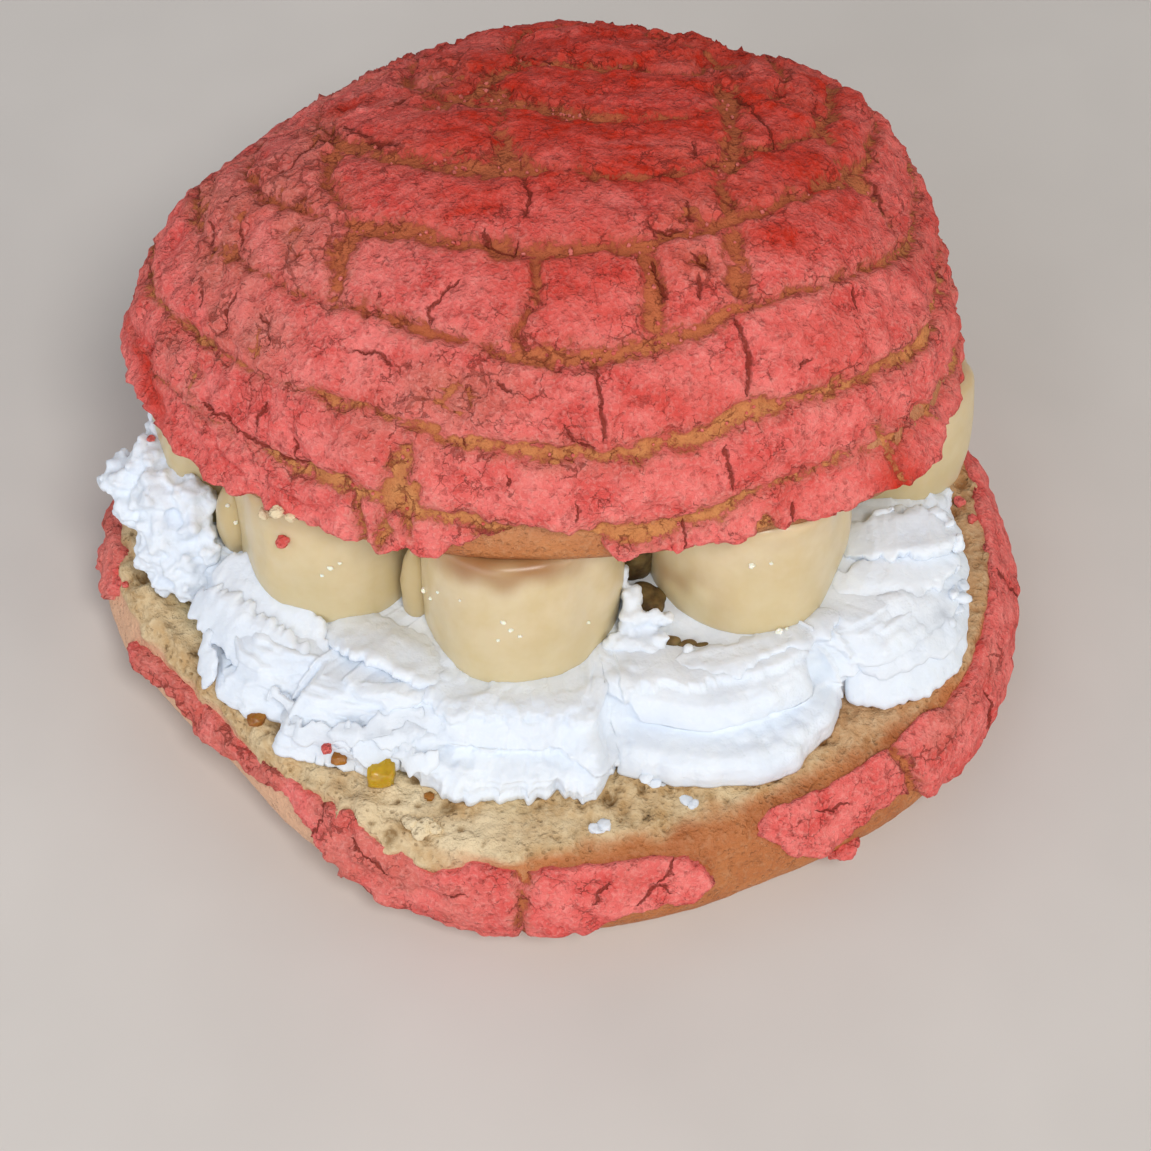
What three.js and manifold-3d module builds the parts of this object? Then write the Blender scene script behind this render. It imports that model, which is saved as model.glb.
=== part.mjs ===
// A filled concha: a sweet bun with a scored sugar crust, cut in two and filled
// with whipped cream and thick banana slices. Millimetres, +Z up, -Y to the front.
// The origin is the middle of the flat base that the bun rests on.
import * as THREE from 'three';
import { mergeVertices } from 'three/addons/utils/BufferGeometryUtils.js';
import Module from 'manifold-3d';

const wasm = await Module();
wasm.setup();

const gap = 0.3;                 // clear space between pieces that touch
const sides = 54;                // steps round the lower half and the cream
const fullTurn = Math.PI * 2;

// Lower half: reach of its widest ring every 30 degrees from +X, then its wall
const lowerReach = [60.2, 59, 59, 59, 59, 59.5, 61.5, 51.5, 51.4, 52.1, 52, 57.6];
const lowerMean = 57;
const wallShares = [0, 0.02, 0.07, 0.15, 0.27, 0.4, 0.55, 0.7, 0.85, 0.95, 1];
const baseInset = 13;            // the flat base is this far inside the widest ring
const widestHeight = 8.5;
const cutHeight = 18;            // the cut face that carries the filling
const rimInset = 4;              // the cut rim is this far inside the widest ring
const rimPower = 1.6;            // how late the wall turns in towards the rim

// Upper half: reach of its rim every 30 degrees, its dome and how it sits
const upperReach = [51, 53.4, 49.6, 49.6, 49.7, 50.4, 55.8, 51.3, 46.6, 43.8, 45.8, 52.7];
const upperHeight = 33;
const upperPlace = new THREE.Vector3(-0.6, 18.1, 38.8);
const upperTilt = THREE.MathUtils.degToRad(-10);
const shoulderPower = 0.71;      // a smaller power makes a fuller shoulder
const shoulderLean = 0.18;       // fuller on the right than on the left
const crownPower = 1.1;
const ringPower = 0.92;          // spaces the rings evenly along the dome

// Sugar crust: how far it stands out of and sinks into the bread's outline
const crustProud = 0.4;
const crustSunk = 1.6;
const breadInset = crustSunk + 2 * gap;
const discRadius = 60;           // the crust rolled out flat, from crown to rim

// Scored rings on the flat crust, each by its nearest point to the front and to
// the back, and the straight cuts across them by their bearing in degrees
const ringMiddle = 2;
const crownSpot = 10;            // the rings close in on a point this far behind the crown
const scoredRings = [
  { front: 1, back: 21 },
  { front: 8, back: 29 },
  { front: 19.6, back: 36 },
  { front: 31.2, back: 43 },
  { front: 44.4, back: 50 },
  { front: 53.5, back: 55.5 },
];
const cutBearings = [10, 38, 66, 95, 122, 150, 178, 205, 220, 242, 260, 275, 296, 318, 342];
const scoreDepth = 1.3;
const scoreHalf = 1.3;           // half the width of a score
const tileSwell = 0.35;          // a tile's middle stands this far above its edges
const widestTurn = 5;            // a cut's half width near the crown, in degrees
const bareFrom = 249;            // the crust has broken off the rim here, in degrees
const bareTo = 280;
const bareShare = 0.05;
const skirtFrom = 0.92;          // share of the way to the rim where the last row of tiles starts
const edgeRagged = 0.008;

// Whipped cream: reach and crest height every 30 degrees
const creamReach = [51.5, 52, 52.5, 52.5, 52.5, 53.5, 56.5, 49.5, 41.5, 40, 42, 49];
const creamCrest = [31, 27.5, 26, 25.5, 26.5, 31, 35.5, 29.5, 27.5, 26.8, 27, 29.5];
const creamMiddle = 27;          // crest height that the middle of the bed follows
const creamFloor = cutHeight + gap;
const creamRows = [
  { share: 0, lift: 0 },
  { share: 0.5, lift: 0 },
  { share: 0.97, lift: 0 },
  { share: 1, lift: 0.22 },
  { share: 0.985, lift: 0.5 },
  { share: 0.93, lift: 0.72 },
  { share: 0.885, lift: 0.95 },
  { share: 0.8, lift: 1 },
  { share: 0.68, lift: 0.86 },
  { share: 0.5, lift: 0.72 },
  { share: 0.25, lift: 0.68 },
  { share: 0, lift: 0.68 },
];
const wallFrom = 0.6;            // the cream's ragged wall lies outside this share of its reach
const raggedLobes = 17;
const unevenLobes = 5;           // makes some lobes deeper than others
const raggedDepth = 0.03;
const crestLobes = 11;
const crestDepth = 0.7;

// Banana slices: middle and radius at the foot, height, and where the three lobes point
const slices = [
  { x: -44.5, y: 4, radius: 8, height: 18, lobe: 0.4 },
  { x: -29.2, y: -8, radius: 11.4, height: 19, lobe: 1.1 },
  { x: -5.6, y: -15.8, radius: 12.6, height: 20.5, lobe: 0.2 },
  { x: 23, y: -8.4, radius: 12.8, height: 18.5, lobe: 0.8 },
  { x: 40.5, y: 11, radius: 11.8, height: 17, lobe: 1.6 },
  { x: 25, y: 33, radius: 11.6, height: 13, lobe: 0.5 },
  { x: 0, y: 37.5, radius: 12.4, height: 12.5, lobe: 1.3 },
  { x: -24, y: 32, radius: 11, height: 13, lobe: 0.9 },
  { x: -40.8, y: 20.7, radius: 8, height: 15, lobe: 0.1 },
];
const sliceSides = 24;
const sliceRound = 1.6;
const lobeShare = 0.03;
const pocketHeadroom = 8;

// Lower crust: where the band starts and ends round the bun, and its lower edge
const bandStart = 305;
const bandEnd = 657;
const bandSteps = 64;
const bandRows = 5;
const bandLow = 0.28;            // share of the wall's height, from the floor up
const bandHigh = 0.965;
const bandRight = 330;           // towards here the band's lower edge climbs
const bandClimb = 0.22;
const climbTurn = 40;            // degrees over which it climbs
const bandRagged = 0.03;
const raggedTurns = [3, 1.3];    // a long and a short wave along its lower edge
const wearDepth = 0.5;           // worn lines between the band's tiles
const wearTurn = 15;             // degrees from one worn line to the next
const wearPower = 6;             // a larger power makes the lines narrower

const materials = {
  bread: new THREE.MeshStandardMaterial({ color: 0xcf9a55, roughness: 0.75, metalness: 0 }),
  crust: new THREE.MeshStandardMaterial({ color: 0xd9585a, roughness: 0.9, metalness: 0 }),
  cream: new THREE.MeshStandardMaterial({ color: 0xf2f3f5, roughness: 0.55, metalness: 0 }),
  banana: new THREE.MeshStandardMaterial({ color: 0xdccb97, roughness: 0.3, metalness: 0 }),
};

// A value given every so many degrees, read smoothly at any angle
function around(values, angle) {
  const count = values.length;
  const place = (((angle / fullTurn) % 1) + 1) % 1 * count;
  const k = Math.floor(place);
  const t = place - k;
  const [a, b, c, d] = [-1, 0, 1, 2].map((step) => values[(k + step + count) % count]);
  return b + 0.5 * t * (c - a + t * (2 * a - 5 * b + 4 * c - d + t * (3 * (b - c) + d - a)));
}

function polar(radius, angle, height) {
  return new THREE.Vector3(radius * Math.cos(angle), radius * Math.sin(angle), height);
}

// Welds a geometry into one closed body whose faces point out
function closedBody(source) {
  const bare = source.clone();
  bare.deleteAttribute('normal');
  bare.deleteAttribute('uv');
  const welded = mergeVertices(bare, 1e-4);
  const kept = [];
  const index = welded.index.array;
  let volume = 0;
  const [a, b, c] = [new THREE.Vector3(), new THREE.Vector3(), new THREE.Vector3()];
  for (let k = 0; k < index.length; k += 3) {
    const [i, j, l] = index.slice(k, k + 3);
    if (i === j || j === l || l === i) continue;
    kept.push(i, j, l);
    a.fromBufferAttribute(welded.attributes.position, i);
    b.fromBufferAttribute(welded.attributes.position, j);
    c.fromBufferAttribute(welded.attributes.position, l);
    volume += a.dot(b.cross(c));
  }
  if (volume < 0) kept.reverse();
  welded.setIndex(kept);
  welded.computeVertexNormals();
  return welded;
}

// A piece turned about Z whose every point is then set by place(row, step)
function turned(rows, steps, place) {
  const profile = rows.map((row) => {
    const point = place(row, 0);
    return new THREE.Vector2(Math.hypot(point.x, point.y), point.z);
  });
  const lathe = new THREE.LatheGeometry(profile, steps);
  const position = lathe.attributes.position;
  for (let k = 0; k < position.count; k += 1) {
    const point = place(rows[k % rows.length], Math.floor(k / rows.length) % steps);
    position.setXYZ(k, point.x, point.y, point.z);
  }
  return closedBody(lathe);
}

function toManifold(geometry) {
  const vertProperties = new Float32Array(geometry.attributes.position.array);
  const triVerts = new Uint32Array(geometry.index.array);
  return new wasm.Manifold(new wasm.Mesh({ numProp: 3, vertProperties, triVerts }));
}

function fromManifold(solid) {
  const mesh = solid.getMesh();
  const geometry = new THREE.BufferGeometry();
  geometry.setAttribute('position', new THREE.BufferAttribute(mesh.vertProperties, 3));
  geometry.setIndex(new THREE.BufferAttribute(mesh.triVerts, 1));
  geometry.computeVertexNormals();
  return geometry;
}

function cutAll(geometry, cutters) {
  const solid = cutters.reduce((left, cutter) => left.subtract(toManifold(cutter)), toManifold(geometry));
  return fromManifold(solid);
}

// The lower half's side: share 0 is the floor, 1 the cut rim
function lowerWall(share, angle, inset) {
  const height = share * cutHeight;
  const below = Math.min(height / widestHeight, 1);
  const above = Math.max(height - widestHeight, 0) / (cutHeight - widestHeight);
  const tuck = baseInset * (1 - Math.sqrt(1 - (1 - below) ** 2)) + rimInset * above ** rimPower;
  const radius = around(lowerReach, angle) * (1 - tuck / lowerMean) - inset;
  return polar(radius, angle, height);
}

function lowerBun() {
  const floor = { share: 0, spread: 0 };
  const cutFace = [0.93, 0.5, 0].map((spread) => ({ share: 1, spread }));
  const rows = [floor, ...wallShares.map((share) => ({ share, spread: 1 })), ...cutFace];
  return turned(rows, sides, ({ share, spread }, step) => {
    const point = lowerWall(share, step / sides * fullTurn, breadInset);
    return new THREE.Vector3(point.x * spread, point.y * spread, point.z);
  });
}

// How far up the wall the lower crust's band begins
function bandEdge(degrees) {
  const fromRight = Math.abs(((degrees - bandRight + 540) % 360) - 180);
  const climb = bandClimb * Math.max(0, 1 - fromRight / climbTurn);
  const ragged = raggedTurns.reduce((sum, turn) => sum + Math.sin(degrees / turn), 0);
  return bandLow + climb + bandRagged * ragged;
}

// A bent slab that wraps the lower half, its outer face split into worn tiles
function lowerCrust() {
  const slab = new THREE.BoxGeometry(1, 1, 1, bandSteps, bandRows, 1);
  const position = slab.attributes.position;
  for (let k = 0; k < position.count; k += 1) {
    const along = position.getX(k) + 0.5;
    const up = position.getY(k) + 0.5;
    const degrees = bandStart + along * (bandEnd - bandStart);
    const share = bandEdge(degrees) + up * (bandHigh - bandEdge(degrees));
    const worn = wearDepth * Math.max(0, Math.sin(degrees / wearTurn * fullTurn)) ** wearPower;
    const inset = position.getZ(k) > 0 ? worn - crustProud : crustSunk;
    const point = lowerWall(share, THREE.MathUtils.degToRad(degrees), inset);
    position.setXYZ(k, point.x, point.y, point.z);
  }
  return closedBody(slab);
}

// The upper half's dome: ring 0 is the crown, 1 the rim
function dome(ring, angle, inset) {
  const power = shoulderPower - shoulderLean * Math.cos(angle);
  const swing = Math.PI / 2 * Math.min(ring, 1) ** (ringPower / power);
  const radius = (around(upperReach, angle) - inset) * Math.sin(swing) ** power;
  const height = (upperHeight - inset) * Math.max(Math.cos(swing), 0) ** crownPower;
  return polar(radius, angle, height);
}

// The scored rings and the tile middles between them, from the crown to the rim
function crustRings() {
  const spot = { front: -crownSpot, back: crownSpot, depth: 0 };
  const rim = { front: discRadius, back: discRadius, depth: 0 };
  const rings = [spot];
  let last = spot;
  for (const ring of scoredRings) {
    const grown = (by, depth) => ({ front: ring.front + by, back: ring.back + by, depth });
    rings.push(halfway(last, ring), grown(-scoreHalf, 0), grown(0, scoreDepth), grown(scoreHalf, 0));
    last = grown(scoreHalf, 0);
  }
  rings.push(halfway(last, rim), rim);
  return rings;
}

function halfway(from, to) {
  return { front: (from.front + to.front) / 2, back: (from.back + to.back) / 2, depth: -tileSwell };
}

// Each cut is an edge, a floor and an edge; a tile's middle follows it
function crustColumns() {
  return cutBearings.flatMap((bearing, k) => {
    const next = cutBearings[k + 1] ?? cutBearings[0] + 360;
    return [
      { bearing, shift: -1, depth: 0 },
      { bearing, shift: 0, depth: scoreDepth },
      { bearing, shift: 1, depth: 0 },
      { bearing: (bearing + next) / 2, shift: 0, depth: -tileSwell },
    ];
  });
}

// Where a ring and a column meet on the flat crust
function discPoint(ring, column) {
  const radius = (ring.front + ring.back) / 2;
  const widest = THREE.MathUtils.degToRad(widestTurn);
  const shift = column.shift * Math.min(scoreHalf / Math.max(radius, 1), widest);
  const turn = THREE.MathUtils.degToRad(column.bearing) + shift;
  const offset = ringMiddle * (1 - radius / discRadius);
  const x = offset + radius * Math.cos(turn);
  const y = (ring.back - ring.front) / 2 + radius * Math.sin(turn);
  return { share: Math.hypot(x, y) / discRadius, angle: Math.atan2(y, x) };
}

// The crust stops short of the rim, and more so where it has broken away
function shortened(share, column) {
  const ragged = edgeRagged * (1 + Math.sin(column.bearing));
  const broken = column.bearing > bareFrom && column.bearing < bareTo ? bareShare : 0;
  const kept = 1 - (ragged + broken) / (1 - skirtFrom);
  return share > skirtFrom ? skirtFrom + (share - skirtFrom) * kept : share;
}

// Every other ring, from the rim to the crown, shared by the bread and the crust's inner face
const breadRings = crustRings().filter((ring, k) => k % 2 === 0 || ring.front === discRadius).reverse();
const columns = crustColumns();

function upperBun() {
  const face = [0, 0.5, 0.95];
  const rows = [...face.map((spread) => ({ spread })), ...breadRings.map((ring) => ({ ring }))];
  return turned(rows, columns.length, (row, step) => {
    const { share, angle } = discPoint(row.ring ?? breadRings[0], columns[step]);
    const point = dome(share, angle, breadInset);
    return row.ring ? point : point.multiplyScalar(row.spread);
  });
}

function upperCrust() {
  const rows = [
    ...crustRings().map((ring) => ({ ring, outer: true })),
    ...breadRings.map((ring) => ({ ring, outer: false })),
  ];
  return turned(rows, columns.length, ({ ring, outer }, step) => {
    const column = columns[step];
    const { share, angle } = discPoint(ring, column);
    const relief = Math.max(ring.depth, column.depth);
    const crownFade = Math.min(1, (ring.front + ring.back) / crownSpot);
    return dome(shortened(share, column), angle, outer ? relief * crownFade - crustProud : crustSunk);
  });
}

// Height of the upper half's cut face above a point
function underside(y) {
  return upperPlace.z + (y - upperPlace.y) * Math.tan(upperTilt);
}

// A slice's outline, swollen into three soft lobes
function lobed(slice, radius, step) {
  const angle = step / sliceSides * fullTurn;
  return radius * (1 + lobeShare * Math.cos(3 * (angle - slice.lobe)));
}

// A thick slice with rounded edges, its top face at the origin
function sliceSolid(slice) {
  const { radius, height } = slice;
  const rows = [
    { out: 0, up: -height },
    { out: radius - sliceRound, up: -height },
    { out: radius, up: -height + sliceRound },
    { out: radius, up: -sliceRound },
    { out: radius - sliceRound, up: 0 },
    { out: 0, up: 0 },
  ];
  return turned(rows, sliceSides, ({ out, up }, step) => {
    return polar(lobed(slice, out, step), step / sliceSides * fullTurn, up);
  });
}

// The space that a slice takes up in the cream
function pocketSolid(slice) {
  const floor = -slice.height - gap;
  const rows = [
    { open: 0, up: floor },
    { open: 1, up: floor },
    { open: 1, up: pocketHeadroom },
    { open: 0, up: pocketHeadroom },
  ];
  return turned(rows, sliceSides, ({ open, up }, step) => {
    return polar(open * (lobed(slice, slice.radius, step) + gap), step / sliceSides * fullTurn, up);
  });
}

// Each slice stands square to the upper half's cut face and just clear of it
function sliceMesh(slice, number) {
  const mesh = new THREE.Mesh(sliceSolid(slice), materials.banana.clone());
  const lean = -slice.height * Math.sin(upperTilt);
  mesh.name = `banana_slice_${number}`;
  mesh.rotation.x = upperTilt;
  mesh.position.set(slice.x, slice.y + lean, underside(slice.y + lean) - gap / Math.cos(upperTilt));
  mesh.updateMatrixWorld();
  return mesh;
}

function creamBed() {
  return turned(creamRows, sides, ({ share, lift }, step) => {
    const angle = step / sides * fullTurn;
    const ragged = 1 + raggedDepth * Math.sin(raggedLobes * angle) * Math.sin(unevenLobes * angle);
    const crest = around(creamCrest, angle) + crestDepth * Math.sin(crestLobes * angle);
    const local = creamMiddle + share * (crest - creamMiddle);
    const radius = around(creamReach, angle) * share * (share > wallFrom ? ragged : 1);
    const point = polar(radius, angle, creamFloor + lift * (local - creamFloor));
    point.z = Math.min(point.z, underside(point.y) - 2 * gap);
    return point;
  });
}

function named(name, geometry, material) {
  const mesh = new THREE.Mesh(geometry, material.clone());
  mesh.name = name;
  return mesh;
}

const lower = new THREE.Group();
lower.add(named('bottom_bun', lowerBun(), materials.bread));
lower.add(named('bottom_topping', lowerCrust(), materials.crust));

const filling = new THREE.Group();
const sliceMeshes = slices.map((slice, k) => sliceMesh(slice, k + 1));
const pockets = slices.map((slice, k) => pocketSolid(slice).applyMatrix4(sliceMeshes[k].matrixWorld));
filling.add(named('whipped_cream', cutAll(creamBed(), pockets), materials.cream));
filling.add(...sliceMeshes);

const upper = new THREE.Group();
upper.position.copy(upperPlace);
upper.rotation.x = upperTilt;
upper.add(named('top_bun', upperBun(), materials.bread));
upper.add(named('top_topping', upperCrust(), materials.crust));

const concha = new THREE.Group();
concha.add(lower, filling, upper);

export default concha;
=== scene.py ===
import math
import bpy
import numpy as np
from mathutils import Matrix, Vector


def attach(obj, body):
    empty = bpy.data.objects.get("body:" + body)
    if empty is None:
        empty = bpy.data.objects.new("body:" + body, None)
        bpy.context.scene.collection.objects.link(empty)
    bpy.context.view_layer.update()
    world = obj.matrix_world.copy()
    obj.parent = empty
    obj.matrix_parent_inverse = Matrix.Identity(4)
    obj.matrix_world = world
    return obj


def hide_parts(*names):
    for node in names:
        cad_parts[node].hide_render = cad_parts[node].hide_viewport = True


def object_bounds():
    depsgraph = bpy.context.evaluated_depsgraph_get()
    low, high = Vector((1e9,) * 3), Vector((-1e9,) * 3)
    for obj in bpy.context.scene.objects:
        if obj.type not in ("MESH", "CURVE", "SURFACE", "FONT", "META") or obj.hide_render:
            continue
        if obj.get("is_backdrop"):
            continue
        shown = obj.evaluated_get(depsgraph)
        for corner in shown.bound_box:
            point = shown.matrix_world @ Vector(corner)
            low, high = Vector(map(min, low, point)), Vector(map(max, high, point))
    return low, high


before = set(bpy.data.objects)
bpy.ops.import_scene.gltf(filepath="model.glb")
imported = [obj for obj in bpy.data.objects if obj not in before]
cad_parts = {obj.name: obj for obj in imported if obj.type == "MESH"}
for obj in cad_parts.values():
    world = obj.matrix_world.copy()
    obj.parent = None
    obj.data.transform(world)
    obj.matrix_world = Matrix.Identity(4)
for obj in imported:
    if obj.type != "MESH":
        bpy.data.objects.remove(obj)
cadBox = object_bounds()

mm = 0.001                       # shapes are worked out in millimetres, +Z up, -Y to the front
fullTurn = 2 * math.pi
farAway = 1e3                    # a gap to nothing


# numbers that vary smoothly over space

def cellHash(cell, seed):
    n = cell[..., 0] * 73856093 ^ cell[..., 1] * 19349663 ^ cell[..., 2] * 83492791 ^ seed * 40503
    n = (n ^ n >> 13) * 1274126177
    n = (n ^ n >> 16) * 668265263
    return (n >> 8 & 0xFFFF) / 65535.0


def softNoise(points, size, seed):   # -1 to 1, in lumps about this many millimetres across
    p = points / size
    base = np.floor(p).astype(np.int64)
    t = p - base
    t = t * t * (3 - 2 * t)
    total = np.zeros(points.shape[:-1])
    for corner in range(8):
        step = np.array([corner & 1, corner >> 1 & 1, corner >> 2])
        total += np.prod(np.where(step, t, 1 - t), axis=-1) * cellHash(base + step, seed)
    return total * 2 - 1


def layered(points, seed, parts):    # noise of several sizes added up: size, height, step of the seed
    return sum(softNoise(points, size, seed + step) * height for size, height, step in parts)


def flatPlaces(across, along=0):     # places on a plane, for noise that runs along a surface
    return np.stack([across, along + 0 * across, 0 * across], -1)


def cellNoise(points, size, seed):   # gaps to the nearest two spots, and a number for the nearest
    p = points / size
    base = np.floor(p).astype(np.int64)
    first = np.full(p.shape[:-1], 9.0)
    second = first.copy()
    tag = np.zeros_like(first)
    for k in range(27):
        cell = base + np.array([k % 3 - 1, k // 3 % 3 - 1, k // 9 - 1])
        spot = cell + np.stack([cellHash(cell, seed + axis) for axis in range(3)], -1)
        reach = np.linalg.norm(spot - p, axis=-1)
        nearer = reach < first
        second = np.where(nearer, first, np.minimum(second, reach))
        tag = np.where(nearer, cellHash(cell, seed + 3), tag)
        first = np.minimum(first, reach)
    return first * size, second * size, tag


def smooth(value, low, high):
    t = np.clip((value - low) / (high - low), 0, 1)
    return t * t * (3 - 2 * t)


def curve(before, start, end, after, t):   # smooth way from start to end, with a value on either side
    first = end - before
    second = 2 * before - 5 * start + 4 * end - after
    third = 3 * (start - end) + after - before
    return start + 0.5 * t * (first + t * (second + t * third))


def around(values, angle):           # values spread evenly round a full turn, read smoothly
    values = np.asarray(values, float)
    count = len(values)
    spot = np.mod(angle / fullTurn, 1) * count
    k = np.floor(spot).astype(int)
    return curve(*(values[(k + step) % count] for step in (-1, 0, 1, 2)), spot - k)


def spots(x, y, places):             # 1 inside soft oval spots, 0 away from them
    total = np.zeros_like(x)
    for spotX, spotY, wide, deep in places:
        total = np.maximum(total, np.exp(-((x - spotX) / wide) ** 2 - ((y - spotY) / deep) ** 2))
    return total


# meshes from rings of points

def gridNormals(grid, middle):
    along = np.roll(grid, -1, axis=1) - np.roll(grid, 1, axis=1)
    across = np.gradient(grid, axis=0)
    normal = np.cross(across, along)
    normal /= np.linalg.norm(normal, axis=-1, keepdims=True) + 1e-12
    side = np.sign(np.sum(normal * (grid - middle)))
    return normal * side


def ringFaces(rows, steps):          # quads between rings, and a fan to one point at each end
    k = np.arange(steps)
    after = (k + 1) % steps
    last = rows * steps
    quads = []
    for row in range(rows - 1):
        low = row * steps
        quads.append(np.stack([low + k, low + after, low + steps + after, low + steps + k], -1))
    top = (rows - 1) * steps
    fans = [(last, b, a) for a, b in zip(k.tolist(), after.tolist())]
    fans += [(last + 1, top + a, top + b) for a, b in zip(k.tolist(), after.tolist())]
    return np.concatenate(quads).tolist() + fans


def closedRings(grid):               # points and faces of a closed body, ends drawn to the ring's middle
    rows, steps, _ = grid.shape
    ends = [grid[0].mean(0), grid[-1].mean(0)]
    points = np.concatenate([grid.reshape(-1, 3), ends])
    return points, ringFaces(rows, steps)


def withEnds(values):                # a value per grid point, carried on to the two end points
    return np.concatenate([values.reshape(-1), [values[0].mean(), values[-1].mean()]])


def newPiece(name, points, faces, material, masks=None):
    mesh = bpy.data.meshes.new(name)
    mesh.from_pydata((points * mm).tolist(), [], faces)
    mesh.validate()
    for label, values in (masks or {}).items():
        layer = mesh.attributes.new(label, "FLOAT", "POINT")
        layer.data.foreach_set("value", np.asarray(values, np.float32))
    piece = bpy.data.objects.new(name, mesh)
    bpy.context.scene.collection.objects.link(piece)
    facingOut(mesh)
    mesh.polygons.foreach_set("use_smooth", [True] * len(mesh.polygons))
    mesh.materials.append(material)
    return piece


def facingOut(mesh):
    mesh.calc_loop_triangles()
    corners = np.empty(len(mesh.loop_triangles) * 3, int)
    mesh.loop_triangles.foreach_get("vertices", corners)
    places = np.empty(len(mesh.vertices) * 3)
    mesh.vertices.foreach_get("co", places)
    a, b, c = places.reshape(-1, 3)[corners.reshape(-1, 3)].transpose(1, 0, 2)
    if np.sum(a * np.cross(b, c)) < 0:
        mesh.flip_normals()


def settle(piece, slot, *nodes):
    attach(piece, "root")
    if nodes:
        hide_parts(*nodes)
    print("made", piece.name, len(piece.data.polygons), "faces")


# shader helpers

def tone(code):                      # linear colour from six hex digits
    parts = [int(code[k:k + 2], 16) / 255 for k in (0, 2, 4)]
    linear = [c / 12.92 if c <= 0.04045 else ((c + 0.055) / 1.055) ** 2.4 for c in parts]
    return (*linear, 1.0)


def tonesOf(codes):
    return {label: tone(code) for label, code in codes.items()}


def addNode(tree, kind, inputs=None, **settings):
    node = tree.nodes.new(kind)
    for label, value in settings.items():
        setattr(node, label, value)
    for label, value in (inputs or {}).items():
        if isinstance(value, bpy.types.NodeSocket):
            tree.links.new(value, node.inputs[label])
        else:
            node.inputs[label].default_value = value
    return node


def mixTones(tree, share, first, second):
    node = addNode(tree, "ShaderNodeMix", {0: share, 6: first, 7: second}, data_type="RGBA")
    return node.outputs[2]


def maths(tree, operation, first, second=0.0):
    return addNode(tree, "ShaderNodeMath", {0: first, 1: second}, operation=operation).outputs[0]


def times(tree, first, second):
    return maths(tree, "MULTIPLY", first, second)


def plus(tree, first, second):
    return maths(tree, "ADD", first, second)


def minus(tree, first, second):
    return maths(tree, "SUBTRACT", first, second)


def ramp(tree, value, low, high, start=0.0, end=1.0):
    ranges = {"Value": value, "From Min": low, "From Max": high, "To Min": start, "To Max": end}
    return addNode(tree, "ShaderNodeMapRange", ranges, clamp=True).outputs[0]


def mask(tree, label):
    return addNode(tree, "ShaderNodeAttribute", attribute_name=label).outputs["Fac"]


def objectPlaces(tree):
    return addNode(tree, "ShaderNodeTexCoord").outputs["Object"]


def noiseNode(tree, where, scale, detail, roughness=0.6):
    inputs = {"Vector": where, "Scale": scale, "Detail": detail, "Roughness": roughness}
    return addNode(tree, "ShaderNodeTexNoise", inputs).outputs


numberSocket = "NodeSocketFloat"
colourSocket = "NodeSocketColor"


def newGroup(name, inputs, outputs):
    group = bpy.data.node_groups.new(name, "ShaderNodeTree")
    for label, kind, value in inputs:
        socket = group.interface.new_socket(name=label, in_out="INPUT", socket_type=kind)
        socket.default_value = value
    for label, kind in outputs:
        group.interface.new_socket(name=label, in_out="OUTPUT", socket_type=kind)
    return group, group.nodes.new("NodeGroupInput").outputs, group.nodes.new("NodeGroupOutput").inputs


def perMetre(tree, size):            # texture scale for a size in millimetres
    return maths(tree, "DIVIDE", 1 / mm, size)


def newMaterial(name):
    material = bpy.data.materials.new(name)
    material.use_nodes = True
    tree = material.node_tree
    return material, tree, tree.nodes["Principled BSDF"]


def place(tree, group, **values):    # puts a node group into a tree, with its own values
    return addNode(tree, "ShaderNodeGroup", values, node_tree=group).outputs


def bump(tree, shader, height, distance, strength):
    node = addNode(tree, "ShaderNodeBump", {"Strength": strength, "Distance": distance, "Height": height})
    tree.links.new(node.outputs[0], shader.inputs["Normal"])


# fine grain: Grain is a height, Specks marks pale grains, Pits marks small holes that the sugar crust darkens
# with painted shade
def makeGrain():
    inputs = [("Size", numberSocket, 0.5)]
    outputs = [("Grain", numberSocket), ("Specks", numberSocket), ("Pits", numberSocket)]
    group, given, result = newGroup("crumbGrain", inputs, outputs)
    where = objectPlaces(group)
    scale = perMetre(group, given["Size"])
    fine = noiseNode(group, where, scale, 2.0)[0]
    wide = noiseNode(group, where, times(group, scale, 0.45), 3.0)[0]
    specks = ramp(group, fine, 0.48, 0.72)
    pits = ramp(group, wide, 0.3, 0.44, 1.0, 0.0)
    height = minus(group, fine, times(group, pits, 0.5))
    group.links.new(height, result["Grain"])
    group.links.new(specks, result["Specks"])
    group.links.new(pits, result["Pits"])
    return group


# slow drift between two colours over a surface
def makeDrift():
    inputs = [("Colour", colourSocket, (1, 1, 1, 1)), ("Second", colourSocket, (0, 0, 0, 1)),
              ("Size", numberSocket, 8.0), ("Balance", numberSocket, 0.5)]
    outputs = [("Colour", colourSocket), ("Share", numberSocket)]
    group, given, result = newGroup("toneDrift", inputs, outputs)
    cloud = noiseNode(group, objectPlaces(group), perMetre(group, given["Size"]), 3.0)[0]
    blur = 0.14
    low = minus(group, given["Balance"], blur)
    high = plus(group, given["Balance"], blur)
    share = ramp(group, cloud, low, high)
    group.links.new(mixTones(group, share, given["Colour"], given["Second"]), result["Colour"])
    group.links.new(share, result["Share"])
    return group


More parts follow.
